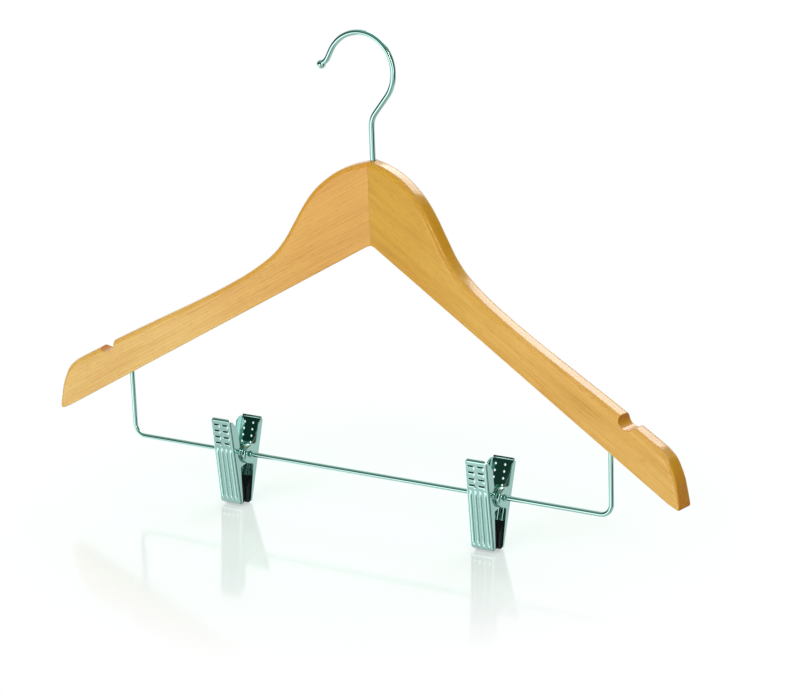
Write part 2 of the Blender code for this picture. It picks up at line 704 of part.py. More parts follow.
def make_rivet(name, pivot):
    """Make the tubular rivet with its two domed, flared heads, lying along the bar."""
    seat = RIVET_SEAT
    rim = seat + RIVET_RIM_SHARE * RIVET_HEAD_HEIGHT
    crown = seat + RIVET_HEAD_HEIGHT
    lip = seat + RIVET_LIP_SHARE * RIVET_HEAD_HEIGHT
    upper = [(RIVET_BORE, seat - RIVET_WALL), (RIVET_MOUTH_RADIUS, lip), (RIVET_CROWN_RADIUS, crown),
             ((RIVET_CROWN_RADIUS + RIVET_HEAD_RADIUS) / 2.0, lip), (RIVET_HEAD_RADIUS, rim),
             (RIVET_HEAD_RADIUS, seat), (RIVET_RADIUS, seat)]
    lower = [(radius, -level) for radius, level in reversed(upper)]
    item = turned(name, upper + lower, PARTS)
    item.rotation_euler.y = math.radians(90.0)
    finish_part(item, name, "chrome", pivot)


def least_gap(path, radius, apart):
    """Return the least gap between stretches of a wire that lie further apart along it than a length."""
    corners = np.array(path)
    along = np.concatenate([[0.0], np.cumsum(np.linalg.norm(np.diff(corners, axis=0), axis=1))])
    places = np.arange(0.0, along[-1], radius / 2.0)
    points = np.stack([np.interp(places, along, corners[:, axis]) for axis in range(3)], axis=1)
    spans = np.linalg.norm(points[:, None] - points[None], axis=2)
    distant = np.abs(places[:, None] - places[None]) > apart
    return spans[distant].min() - 2.0 * radius


def spring_path():
    """Return the torsion spring's centre line: front leg, coil round the rivet, rear leg."""
    lean = JAW_ANGLE + LEG_LEAN
    first = math.pi + lean
    turn = 2.0 * math.pi * SPRING_LOOPS - math.pi - 2.0 * lean
    count = int(round(turn / (2.0 * math.pi) * COIL_POINTS))
    shares = [step / count for step in range(count + 1)]
    coil = [(COIL_HALF_LENGTH * (2.0 * share - 1.0), COIL_RADIUS * math.cos(first + turn * share),
             COIL_RADIUS * math.sin(first + turn * share)) for share in shares]
    ends = []
    for side, base in ((-1.0, coil[0]), (1.0, coil[-1])):
        knee = (base[0], base[1] + side * SPRING_LEG * math.sin(lean), base[2] + SPRING_LEG * math.cos(lean))
        toe = (base[0], knee[1] + side * SPRING_TOE * math.sin(JAW_ANGLE),
               knee[2] + SPRING_TOE * math.cos(JAW_ANGLE))
        ends.append((knee, toe))
    path = [ends[0][1], ends[0][0], *coil, ends[1][0], ends[1][1]]
    gap = least_gap(path, SPRING_WIRE_RADIUS, math.pi * COIL_RADIUS)
    print("spring: least gap to itself, measured on points:", round(gap, 6), "m")
    return path


def make_clip(side, place, hang, hanger):
    """Make one clip with its pieces carried by an empty on the bar's centre line."""
    pivot = new_empty(side + "_clip_pivot", (place, BAR_PLACE_Y, -BAR_DROP), hanger, (hang, 0.0, 0.0))
    front = (JAW_ANGLE, 0.0, 0.0)
    rear = (JAW_ANGLE, 0.0, math.pi)
    make_rivet(side + "_clip_rivet", pivot)
    make_jaw(side + "_clip_front_jaw", FRONT_JAW, pivot, front)
    make_jaw(side + "_clip_rear_jaw", REAR_JAW, pivot, rear)
    make_pad(side + "_clip_front_pad", FRONT_JAW, pivot, front)
    make_pad(side + "_clip_rear_pad", REAR_JAW, pivot, rear)
    finish_part(wire(side + "_clip_spring", spring_path(), SPRING_WIRE_RADIUS, 1), side + "_clip_spring",
                "spring_steel", pivot)


def build():
    """Build the hanger with the inside of the hook's crown at the origin."""
    hanger = new_empty("hanger_frame", -CROWN)
    bores = joint_bores()
    pin_hole = pin_bore()
    for bore in (bores, pin_hole):
        bore.parent = hanger
    make_arm("left_arm", -1.0, hanger, (bores,))
    make_arm("right_arm", 1.0, hanger, (bores, pin_hole))
    make_joint_pieces(hanger)
    make_hook(hanger)
    make_bar(hanger)
    make_clip("left", LEFT_CLIP_PLACE, LEFT_CLIP_HANG, hanger)
    make_clip("right", RIGHT_CLIP_PLACE, RIGHT_CLIP_HANG, hanger)
    bpy.context.view_layer.update()


clear_scene()
PARTS = new_collection("clothes_hanger")
CUTTERS = new_collection("cutters")
build()
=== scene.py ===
"""Dressed model of a contoured wooden clothes hanger with a wire trouser bar and two sprung clips.

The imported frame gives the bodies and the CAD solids. Every visible solid is replaced here by a finer
surface, worked out with numpy and placed in the same frame, and each surface gets a procedural
material. The surfaces keep the solids' sizes, but the grip marks are a little deeper, the rivets' heads
smoother and the pads' feet a millimetre longer. Sizes are in millimetres in the hanger's own frame,
whose origin lies on the hook's swivel axis, level with the point where the arms' lower edges meet.
"""
import logging
import math
from dataclasses import dataclass, field
from enum import Enum
from typing import Any, Callable, Iterable, Optional, Sequence

import bmesh
import bpy
import numpy as np
from mathutils import Matrix, Vector
from mathutils.geometry import delaunay_2d_cdt


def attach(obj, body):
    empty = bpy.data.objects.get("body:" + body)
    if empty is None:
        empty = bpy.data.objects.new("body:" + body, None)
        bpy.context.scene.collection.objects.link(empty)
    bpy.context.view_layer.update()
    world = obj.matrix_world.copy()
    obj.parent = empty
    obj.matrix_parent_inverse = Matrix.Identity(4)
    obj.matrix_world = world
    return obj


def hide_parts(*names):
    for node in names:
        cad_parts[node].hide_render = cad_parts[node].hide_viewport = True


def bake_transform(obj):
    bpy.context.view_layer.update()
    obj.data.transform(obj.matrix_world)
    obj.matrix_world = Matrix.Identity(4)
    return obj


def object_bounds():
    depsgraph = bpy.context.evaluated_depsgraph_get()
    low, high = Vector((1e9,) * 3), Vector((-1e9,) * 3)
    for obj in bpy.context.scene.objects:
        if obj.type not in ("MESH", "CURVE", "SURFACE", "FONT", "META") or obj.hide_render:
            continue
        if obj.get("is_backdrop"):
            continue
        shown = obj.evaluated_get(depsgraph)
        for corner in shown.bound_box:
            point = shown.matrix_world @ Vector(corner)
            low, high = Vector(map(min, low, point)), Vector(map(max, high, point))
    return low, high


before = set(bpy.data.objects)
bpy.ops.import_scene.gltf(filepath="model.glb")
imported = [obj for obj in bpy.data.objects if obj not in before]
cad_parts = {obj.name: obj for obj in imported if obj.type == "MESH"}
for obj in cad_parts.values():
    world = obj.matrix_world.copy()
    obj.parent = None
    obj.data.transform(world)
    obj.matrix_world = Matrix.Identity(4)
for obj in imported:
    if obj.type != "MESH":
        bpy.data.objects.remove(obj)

LOG = logging.getLogger("clothes_hanger")
MM = 0.001
CAD_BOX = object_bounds()

# The hanger's own frame, in millimetres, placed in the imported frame
HANGER_ORIGIN = np.array([6.6, 0.0, -124.0])
SWEEP = math.radians(9.0)
ARM_REACH = 222.5
ARM_DROP = 124.4
BAR_LEVEL = -137.8
BAR_HALF_SPAN = 169.6
BAR_FORWARD = -BAR_HALF_SPAN * math.tan(SWEEP)
BAR_RADIUS = 1.5

# The bar's legs end this far up, 13 mm inside the wood above the arms' lower edges
LEG_TOP = -ARM_DROP / ARM_REACH * BAR_HALF_SPAN / math.cos(SWEEP) + 13.0

# The setting that makes a map range a smooth step
SMOOTH = {"interpolation_type": "SMOOTHSTEP"}


class Side(Enum):
    """The two halves of the hanger, with the sign of X on each."""

    LEFT = -1.0
    RIGHT = 1.0

    @property
    def word(self) -> str:
        """The side's name as the CAD nodes write it."""
        return self.name.lower()


# Each clip's place along the bar from the swivel axis, and its hang about the bar in degrees
CLIP_PLACES = {Side.LEFT: (-91.5, -6.2), Side.RIGHT: (89.2, -7.4)}


# Meshes


def to_world(points: np.ndarray) -> np.ndarray:
    """Move points from the hanger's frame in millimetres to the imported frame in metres.

    Args:
        points: array whose last axis holds X, Y and Z in millimetres.

    Returns:
        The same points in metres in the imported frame.
    """
    return (np.asarray(points, float) + HANGER_ORIGIN) * MM


def link(name: str, mesh: bpy.types.Mesh) -> bpy.types.Object:
    """Put a mesh into the scene as an object at the origin.

    Args:
        name: the object's name.
        mesh: its mesh.

    Returns:
        The object.
    """
    item = bpy.data.objects.new(name, mesh)
    bpy.context.scene.collection.objects.link(item)
    return item


def mesh_from(name: str, points: np.ndarray, faces: Sequence[Sequence[int]]) -> bpy.types.Mesh:
    """Make a mesh from points in the hanger's frame, with its faces turned outwards.

    Args:
        name: the mesh's name.
        points: array of shape (count, 3) in millimetres.
        faces: corner indices of each face.

    Returns:
        The new mesh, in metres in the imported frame.
    """
    mesh = bpy.data.meshes.new(name)
    mesh.from_pydata(to_world(points), [], [list(map(int, face)) for face in faces])
    mesh.validate()
    shape = bmesh.new()
    shape.from_mesh(mesh)
    bmesh.ops.remove_doubles(shape, verts=shape.verts, dist=1e-7)
    bmesh.ops.recalc_face_normals(shape, faces=shape.faces)
    if shape.calc_volume(signed=True) < 0.0:
        bmesh.ops.reverse_faces(shape, faces=shape.faces)
    shape.to_mesh(mesh)
    shape.free()
    return mesh


def grid_faces(rows: int, columns: int, around_rows: bool, around_columns: bool) -> np.ndarray:
    """Number the quads of a grid of points, row after row.

    Args:
        rows: the number of rows of points.
        columns: the number of points in a row.
        around_rows: whether the last row joins the first.
        around_columns: whether the last column joins the first.

    Returns:
        Array of shape (count, 4) of point indices.
    """
    row = np.arange(rows if around_rows else rows - 1)
    column = np.arange(columns if around_columns else columns - 1)
    first, second = np.meshgrid(row, column, indexing="ij")
    below = (first + 1) % rows
    beside = (second + 1) % columns
    quads = np.stack([first * columns + second, first * columns + beside,
                      below * columns + beside, below * columns + second], axis=-1)
    return quads.reshape(-1, 4)


def shell(name: str, grid: np.ndarray, capped: bool = True, around_rows: bool = False) -> bpy.types.Mesh:
    """Make a mesh from a grid whose columns run round the piece.

    Args:
        name: the mesh's name.
        grid: array of shape (rows, columns, 3) in millimetres; the columns close on themselves.
        capped: whether the first and last rows are filled with one flat face each.
        around_rows: whether the rows close on themselves too, as on a ring.

    Returns:
        The closed mesh.
    """
    rows, columns = grid.shape[:2]
    faces: list[Sequence[int]] = list(grid_faces(rows, columns, around_rows, True).tolist())
    if capped and not around_rows:
        faces.append(list(range(columns))[::-1])
        faces.append(list(range((rows - 1) * columns, rows * columns)))
    return mesh_from(name, grid.reshape(-1, 3), faces)


def smooth(mesh: bpy.types.Mesh, sharp_angle: float = 38.0) -> bpy.types.Mesh:
    """Shade a mesh smooth but for its sharp edges.

    Args:
        mesh: the mesh.
        sharp_angle: the turn in degrees from which an edge stays sharp.

    Returns:
        The same mesh.
    """
    mesh.shade_smooth()
    mesh.set_sharp_from_angle(angle=math.radians(sharp_angle))
    return mesh


def applied(item: bpy.types.Object, sharp_angle: float = 38.0) -> bpy.types.Object:
    """Bake an object's modifiers into its mesh and shade it smooth.

    Args:
        item: the object.
        sharp_angle: the turn in degrees from which an edge stays sharp.

    Returns:
        The same object.
    """
    bpy.context.view_layer.update()
    graph = bpy.context.evaluated_depsgraph_get()
    baked = bpy.data.meshes.new_from_object(item.evaluated_get(graph))
    item.modifiers.clear()
    item.data = smooth(baked, sharp_angle)
    item.data.name = item.name
    return item


def carve(item: bpy.types.Object, cutter: bpy.types.Mesh) -> bpy.types.Object:
    """Cut a closed mesh out of an object with an exact Boolean and bake the result.

    Args:
        item: the object.
        cutter: the closed mesh to take away.

    Returns:
        The same object.
    """
    tool = link(item.name + "_cutter", cutter)
    step = item.modifiers.new("carve", "BOOLEAN")
    step.operation = "DIFFERENCE"
    step.solver = "EXACT"
    step.object = tool
    applied(item)
    bpy.data.objects.remove(tool, do_unlink=True)
    return item


def rods(name: str, axes: Iterable[tuple[Sequence[float], Sequence[float], float]],
         sides: int = 48) -> bpy.types.Mesh:
    """Return a mesh of separate capped rods.

    Args:
        name: the mesh's name.
        axes: start, end and radius of each rod, in millimetres.
        sides: the number of sides of each rod.

    Returns:
        One mesh that holds all the rods.
    """
    points: list[np.ndarray] = []
    faces: list[Sequence[int]] = []
    turn = np.linspace(0.0, 2.0 * math.pi, sides, endpoint=False)
    for start, end, radius in axes:
        low, high = np.array(start, float), np.array(end, float)
        along = (high - low) / np.linalg.norm(high - low)
        across = np.cross(along, (1.0, 0.0, 0.0) if abs(along[0]) < 0.9 else (0.0, 1.0, 0.0))
        across /= np.linalg.norm(across)
        other = np.cross(along, across)
        ring = radius * (np.cos(turn)[:, None] * across + np.sin(turn)[:, None] * other)
        base = sum(len(block) for block in points)
        points.append(np.concatenate([low + ring, high + ring]))
        faces.extend((grid_faces(2, sides, False, True) + base).tolist())
        faces.append([base + index for index in range(sides)][::-1])
        faces.append([base + sides + index for index in range(sides)])
    return mesh_from(name, np.concatenate(points), faces)


def curve_through(points: np.ndarray, steps: int) -> np.ndarray:
    """Return an even Catmull-Rom curve through points.

    Each span blends its four nearest points with cubic weights of the share along the span.

    Args:
        points: the points that the curve passes through.
        steps: the number of steps in each span.

    Returns:
        The curve's points, the last given point among them.
    """
    path = np.asarray(points, float)
    padded = np.vstack([2.0 * path[0] - path[1], path, 2.0 * path[-1] - path[-2]])
    share = (np.arange(steps) / steps)[None, :, None]
    before, start, end, after = (padded[index:len(padded) - 3 + index, None] for index in range(4))
    spans = 0.5 * (2.0 * start + (end - before) * share
                   + (2.0 * before - 5.0 * start + 4.0 * end - after) * share ** 2
                   + (3.0 * start - before - 3.0 * end + after) * share ** 3)
    return np.vstack([spans.reshape(-1, path.shape[1]), path[-1:]])


def arc(centre: Sequence[float], radius: float, first: float, last: float, step: float = 4.0) -> np.ndarray:
    """Return points on an arc in a plane: the centre plus the radius times cosine and sine.

    Args:
        centre: the arc's centre.
        radius: its radius.
        first: the angle at which it begins.
        last: the angle at which it ends.
        step: about how many degrees the points lie apart.

    Returns:
        The arc's points.
    """
    count = max(3, int(abs(math.degrees(last - first)) / step) + 1)
    turn = np.linspace(first, last, count)
    return np.stack([centre[0] + radius * np.cos(turn), centre[1] + radius * np.sin(turn)], axis=1)


def lengths(path: np.ndarray) -> np.ndarray:
    """Return the distance travelled along a path at each of its points."""
    return np.concatenate([[0.0], np.cumsum(np.linalg.norm(np.diff(path, axis=0), axis=1))])


def sample(path: np.ndarray, places: np.ndarray) -> np.ndarray:
    """Return the points of a path at given distances along it."""
    along = lengths(path)
    return np.stack([np.interp(places, along, path[:, axis]) for axis in range(path.shape[1])], axis=1)


def normals_2d(path: np.ndarray) -> np.ndarray:
    """Turn a path's central differences a quarter to the left.

    Args:
        path: points in a plane.

    Returns:
        The unit normal at each point.
    """
    along = np.gradient(path, axis=0)
    along /= np.linalg.norm(along, axis=1, keepdims=True)
    return np.stack([-along[:, 1], along[:, 0]], axis=1)


def rounding(radius: np.ndarray, half: float, level: float) -> np.ndarray:
    """Work out how far an edge draws in at a level through the thickness.

    It is a quarter circle: nothing until the level is a radius away from the face, then the radius
    less the height of the circle.

    Args:
        radius: radius of the edge, at one point or at many.
        half: half of the thickness.
        level: distance from the middle of the thickness.

    Returns:
        The distance inwards for each radius.
    """
    radius = np.asarray(radius, float)
    depth = np.clip(abs(level) - (half - radius), 0.0, radius)
    return radius - np.sqrt(np.maximum(radius ** 2 - depth ** 2, 0.0))


def blurred(path: np.ndarray, spread: float = 2.2, reach: int = 5) -> np.ndarray:
    """Smooth a path: each point becomes the mean of its neighbours, weighted by a bell curve.

    Args:
        path: evenly spaced points.
        spread: the bell curve's width, in points.
        reach: the number of neighbours on either side.

    Returns:
        The smoothed points.
    """
    weights = np.exp(-0.5 * (np.arange(-reach, reach + 1) / spread) ** 2)
    padded = np.pad(path, ((reach, reach), (0, 0)), mode="edge")
    total = sum(weight * padded[start:start + len(path)] for start, weight in enumerate(weights))
    return total / weights.sum()


def ease(start: np.ndarray, corner: np.ndarray, end: np.ndarray) -> np.ndarray:
    """Round a corner by a parabola.

    Each point blends the three with the weights (1 - share) squared, 2 share (1 - share) and share
    squared.

    Args:
        start: the point before the corner.
        corner: the corner itself.
        end: the point after it.

    Returns:
        Five points between start and end.
    """
    share = np.linspace(0.0, 1.0, 7)[1:-1, None]
    return (1.0 - share) ** 2 * start + 2.0 * share * (1.0 - share) * corner + share ** 2 * end


def tube(name: str, path: np.ndarray, radii: np.ndarray, reference: Sequence[float],
         sides: int = 20) -> bpy.types.Mesh:
    """Carry a circle along a path.

    Each point of the circle is the path's point plus the radius times a turn between two directions
    square to the path, the first of which is also square to the reference direction.

    Args:
        name: the mesh's name.
        path: centre line, in millimetres.
        radii: radius at each point of the path.
        reference: a direction that the path never runs along.
        sides: number of points round the circle.

    Returns:
        The closed tube.
    """
    along = np.gradient(path, axis=0)
    along /= np.linalg.norm(along, axis=1, keepdims=True)
    first = np.cross(along, np.array(reference, float))
    first /= np.linalg.norm(first, axis=1, keepdims=True)
    second = np.cross(along, first)
    turn = np.linspace(0.0, 2.0 * math.pi, sides, endpoint=False)[None, :, None]
    circle = np.cos(turn) * first[:, None] + np.sin(turn) * second[:, None]
    return shell(name, path[:, None] + np.asarray(radii, float)[:, None, None] * circle)


def prism(name: str, outline: np.ndarray, half: float, edge: float,
          place: Callable[[np.ndarray], np.ndarray]) -> bpy.types.Mesh:
    """Carry a flat outline through a thickness, with its two edges rounded.

    At each level the outline is drawn in along its normals by the rounding's quarter circle.

    Args:
        name: the mesh's name.
        outline: closed outline in a plane, in millimetres.
        half: half of the thickness.
        edge: radius of the two rounded edges.
        place: function from outline X, outline Y and level to points in the hanger's frame.

    Returns:
        The closed prism.
    """
    following = np.roll(outline, -1, axis=0) - np.roll(outline, 1, axis=0)
    following /= np.linalg.norm(following, axis=1, keepdims=True)
    inward = np.stack([-following[:, 1], following[:, 0]], axis=1)
    area = np.sum(outline[:, 0] * np.roll(outline[:, 1], -1) - outline[:, 1] * np.roll(outline[:, 0], -1))
    inward *= np.sign(area)
    bend = np.linspace(0.0, 0.5 * math.pi, 6)
    reach = np.concatenate([half - edge + edge * np.sin(bend), [half]])
    drawn = np.concatenate([edge * (1.0 - np.cos(bend)), [edge * 1.3]])
    levels = np.concatenate([-reach[::-1], reach])
    insets = np.concatenate([drawn[::-1], drawn])
    flat = outline[None] + inward[None] * insets[:, None, None]
    solid = np.concatenate([flat, np.broadcast_to(levels[:, None, None], (*flat.shape[:2], 1))], axis=2)
    return shell(name, place(solid))


# Finishes


def linear(code: str) -> tuple[float, float, float, float]:
    """Turn an sRGB hex colour into linear light by the sRGB curve.

    Args:
        code: a hash sign and six hex digits.

    Returns:
        Linear red, green and blue, and an alpha of one.
    """
    parts = np.array([int(code[start:start + 2], 16) for start in (1, 3, 5)]) / 255.0
    values = np.where(parts <= 0.04045, parts / 12.92, ((parts + 0.055) / 1.055) ** 2.4)
    return (float(values[0]), float(values[1]), float(values[2]), 1.0)


def set_stops(ramp: bpy.types.ColorRamp, stops: Sequence[tuple[float, str]]) -> None:
    """Give a colour ramp its stops.

    Args:
        ramp: the ramp.
        stops: place and sRGB hex colour of each stop, from the lowest place up.
    """
    while len(ramp.elements) > 1:
        ramp.elements.remove(ramp.elements[-1])
    ramp.elements[0].position, ramp.elements[0].color = stops[0][0], linear(stops[0][1])
    for place, code in stops[1:]:
        ramp.elements.new(place).color = linear(code)


def add_node(tree: bpy.types.NodeTree, kind: str, settings: Optional[dict[Any, Any]] = None,
             links: Optional[dict[Any, Any]] = None) -> bpy.types.Node:
    """Add a node with its settings and the links into it.

    Args:
        tree: the node tree.
        kind: Blender's name for the node.
        settings: attribute values, socket values under the socket's name or number, and a colour
            ramp's stops under "stops".
        links: output sockets under the name or number of the input that they feed.

    Returns:
        The new node.
    """
    node = tree.nodes.new(kind)
    for key, value in (settings or {}).items():
        if key == "stops":
            set_stops(node.color_ramp, value)
        elif isinstance(key, str) and hasattr(node, key):
            setattr(node, key, value)
        else:
            node.inputs[key].default_value = value
    for key, socket in (links or {}).items():
        tree.links.new(socket, node.inputs[key])
    return node


def new_material(name: str) -> tuple[bpy.types.Material, bpy.types.NodeTree, bpy.types.Node]:
    """Make a material that uses nodes.

    Args:
        name: the material's name.

    Returns:
        The material, its node tree and its Principled shader.
    """
    material = bpy.data.materials.new(name)
    material.use_nodes = True
    tree = material.node_tree
    return material, tree, tree.nodes["Principled BSDF"]


@dataclass(frozen=True)
class Grain:
    """One scale of a wood's figure: its size across and along the fibres, and its noise's settings."""

    across_mm: float
    along_mm: float
    detail: float
    roughness: float


@dataclass(frozen=True)
class LacqueredMaple:
    """Hard maple under clear nitrocellulose lacquer, sanded and sprayed.

    The eye sees a pale golden face with fine fibres along the grain, short darker flecks, a faint
    growth figure, browner end grain, and the lacquer's own gloss over it all. Real fibres and flecks
    are a tenth of a millimetre wide or less. They are drawn several times wider, so that they show.
    """

    pale: str = "#EDC06C"
    middle: str = "#E7B65C"
    deep: str = "#D49B40"
    heart: str = "#F6E2A6"
    oblique: str = "#DC9808"
    end_grain: str = "#D28210"
    end_pore: str = "#B46A06"
    late_wood: str = "#C8873A"
    fleck_tone: str = "#B9742E"
    line_mm: float = 1.8
    pores_per_mm: float = 0.9
    growth: Grain = Grain(8.0, 120.0, 3.0, 0.55)
    cloud: Grain = Grain(26.0, 60.0, 1.0, 0.5)
    fibre: Grain = Grain(0.6, 30.0, 2.0, 0.6)
    fleck: Grain = Grain(0.55, 5.0, 1.0, 0.5)
    growth_share: float = 0.37
    fibre_share: float = 0.42
    cloud_share: float = 0.21
    heart_reach: tuple[float, float] = (0.15, 0.02)
    coat_roughness: float = 0.16

    def grains(self, tree: bpy.types.NodeTree, lie: bpy.types.NodeSocket) -> list[bpy.types.NodeSocket]:
        """Add one noise for each scale of the figure.

        Each is plain noise of the place divided by that scale's size along and across the fibres.

        Args:
            tree: the material's tree.
            lie: the place, turned so that the fibres run along X.

        Returns:
            The noises of the growth figure, the cloud, the fibres and the flecks.
        """
        noises = []
        for grain in (self.growth, self.cloud, self.fibre, self.fleck):
            across = 1.0 / (grain.across_mm * MM)
            size = add_node(tree, "ShaderNodeVectorMath", {"operation": "MULTIPLY",
                                                           1: (1.0 / (grain.along_mm * MM), across, across)},
                            {0: lie})
            noise = add_node(tree, "ShaderNodeTexNoise", {"Scale": 1.0, "Detail": grain.detail,
                                                          "Roughness": grain.roughness, "Distortion": 0.04},
                             {"Vector": size.outputs[0]})
            noises.append(noise.outputs[0])
        return noises

    def face(self, tree: bpy.types.NodeTree, lie: bpy.types.NodeSocket,
             noises: Sequence[bpy.types.NodeSocket]) -> bpy.types.NodeSocket:
        """Colour the faces that lie along the fibres.

        The tone is a ramp over a weighted sum of the growth, fibre and cloud noises. Late wood darkens
        it in thin bands, and the flecks where their noise is high.

        Args:
            tree: the material's tree.
            lie: the place, turned so that the fibres run along X.
            noises: what grains returns.

        Returns:
            The colour.
        """
        growth, cloud, fibre, fleck = noises
        drawn = add_node(tree, "ShaderNodeVectorMath", {"operation": "MULTIPLY", 1: (0.07, 1.0, 1.0)},
                         {0: lie})
        rings = add_node(tree, "ShaderNodeTexWave", {"wave_type": "BANDS", "bands_direction": "Z",
                                                     "wave_profile": "SAW", "Distortion": 7.0, "Detail": 1.5,
                                                     "Detail Scale": 0.30,
                                                     "Scale": math.pi / 10.0 / (self.line_mm * MM)},
                         {"Vector": drawn.outputs[0]})
        late = add_node(tree, "ShaderNodeMapRange", {"From Min": 0.45, "From Max": 1.0, "To Min": 0.0,
                                                     "To Max": 0.19}, {"Value": rings.outputs["Fac"]})
        sheen = add_node(tree, "ShaderNodeMath", {"operation": "MULTIPLY_ADD", 1: self.growth_share, 2: 0.0},
                         {0: growth})
        blend = add_node(tree, "ShaderNodeMath", {"operation": "MULTIPLY_ADD", 1: self.fibre_share},
                         {0: fibre, 2: sheen.outputs[0]})
        total = add_node(tree, "ShaderNodeMath", {"operation": "MULTIPLY_ADD", 1: self.cloud_share},
                         {0: cloud, 2: blend.outputs[0]})
        body = add_node(tree, "ShaderNodeValToRGB",
                        {"stops": ((0.36, self.deep), (0.50, self.middle), (0.63, self.pale))},
                        {"Fac": total.outputs[0]})
        speck = add_node(tree, "ShaderNodeMapRange", {"From Min": 0.62, "From Max": 0.74, "To Min": 0.0,
                                                      "To Max": 0.42}, {"Value": fleck})
        lined = add_node(tree, "ShaderNodeMix", {"data_type": "RGBA", 7: linear(self.late_wood)},
                         {0: late.outputs[0], 6: body.outputs[0]})
        flecked = add_node(tree, "ShaderNodeMix", {"data_type": "RGBA", 7: linear(self.fleck_tone)},
                           {0: speck.outputs[0], 6: lined.outputs[2]})
        return flecked.outputs[2]

    def hearted(self, tree: bpy.types.NodeTree, place: bpy.types.NodeSocket,
                colour: bpy.types.NodeSocket) -> bpy.types.NodeSocket:
        """Tint the colour towards the middle of the hanger, by a smooth step of the distance from it.

        Args:
            tree: the material's tree.
            place: the place on the object.
            colour: the colour to tint.

        Returns:
            The tinted colour.
        """
        far, near = self.heart_reach
        axes = add_node(tree, "ShaderNodeSeparateXYZ", links={0: place})
        away = add_node(tree, "ShaderNodeMath", {"operation": "ABSOLUTE"}, {0: axes.outputs[0]})
        share = add_node(tree, "ShaderNodeMapRange", {**SMOOTH, "From Min": far, "From Max": near},
                         {"Value": away.outputs[0]})
        golden = add_node(tree, "ShaderNodeMix", {"data_type": "RGBA", "blend_type": "MULTIPLY",
                                                  7: linear(self.heart)}, {0: share.outputs[0], 6: colour})
        return golden.outputs[2]

    def ended(self, tree: bpy.types.NodeTree, place: bpy.types.NodeSocket, reach: bpy.types.NodeSocket,
              colour: bpy.types.NodeSocket) -> bpy.types.NodeSocket:
        """Darken the colour where the surface cuts across the fibres.

        Args:
            tree: the material's tree.
            place: the place on the object.
            reach: how squarely the surface cuts the fibres, from nought to one.
            colour: the colour of a face along the fibres.

        Returns:
            The colour, golden brown on slanting faces and a porous brown on end grain.
        """
        pores = add_node(tree, "ShaderNodeTexNoise", {"Scale": self.pores_per_mm / MM, "Detail": 2.0},
                         {"Vector": place})
        slant = add_node(tree, "ShaderNodeMapRange", {"From Min": 0.22, "From Max": 0.52, "To Min": 0.0,
                                                      "To Max": 0.85}, {"Value": reach})
        stub = add_node(tree, "ShaderNodeMapRange", {"From Min": 0.55, "From Max": 0.88, "To Min": 0.0,
                                                     "To Max": 0.95}, {"Value": reach})
        tone = add_node(tree, "ShaderNodeValToRGB",
                        {"stops": ((0.35, self.end_pore), (0.65, self.end_grain))},
                        {"Fac": pores.outputs[0]})
        leaning = add_node(tree, "ShaderNodeMix", {"data_type": "RGBA", 7: linear(self.oblique)},
                           {0: slant.outputs[0], 6: colour})
        ended = add_node(tree, "ShaderNodeMix", {"data_type": "RGBA"},
                         {0: stub.outputs[0], 6: leaning.outputs[2], 7: tone.outputs[0]})
        return ended.outputs[2]

    def material(self, name: str, along: Sequence[float], seed: float) -> bpy.types.Material:
        """Build the wood with its fibres along a direction.

        End grain soaks up the lacquer, so the coat is thinner there.

        Args:
            name: the material's name.
            along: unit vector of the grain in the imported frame.
            seed: shift of the figure, so that the two arms differ.

        Returns:
            The material.
        """
        material, tree, shader = new_material(name)
        turn = Vector(along).rotation_difference(Vector((1.0, 0.0, 0.0))).to_euler()
        where = add_node(tree, "ShaderNodeTexCoord")
        place = where.outputs["Object"]
        lie = add_node(tree, "ShaderNodeMapping", {"vector_type": "POINT", "Rotation": turn,
                                                   "Location": (seed, seed * 0.7, seed * 1.3)},
                       {"Vector": place})
        facing = add_node(tree, "ShaderNodeMapping", {"vector_type": "VECTOR", "Rotation": turn},
                          {"Vector": where.outputs["Normal"]})
        ends = add_node(tree, "ShaderNodeSeparateXYZ", links={0: facing.outputs["Vector"]})
        reach = add_node(tree, "ShaderNodeMath", {"operation": "ABSOLUTE"}, {0: ends.outputs[0]})
        noises = self.grains(tree, lie.outputs["Vector"])
        golden = self.hearted(tree, place, self.face(tree, lie.outputs["Vector"], noises))
        colour = self.ended(tree, place, reach.outputs[0], golden)
        relief = add_node(tree, "ShaderNodeBump", {"Strength": 0.12, "Distance": 0.00006},
                          {"Height": noises[2]})
        soaked = add_node(tree, "ShaderNodeMapRange", {"From Min": 0.5, "From Max": 0.8, "To Min": 1.0,
                                                       "To Max": 0.2}, {"Value": reach.outputs[0]})
        tree.links.new(colour, shader.inputs["Base Color"])
        tree.links.new(soaked.outputs[0], shader.inputs["Coat Weight"])
        tree.links.new(relief.outputs[0], shader.inputs["Normal"])
        shader.inputs["Roughness"].default_value = 0.42
        shader.inputs["Specular IOR Level"].default_value = 0.1
        shader.inputs["Coat Roughness"].default_value = self.coat_roughness
        shader.inputs["Coat IOR"].default_value = 1.52
        return material


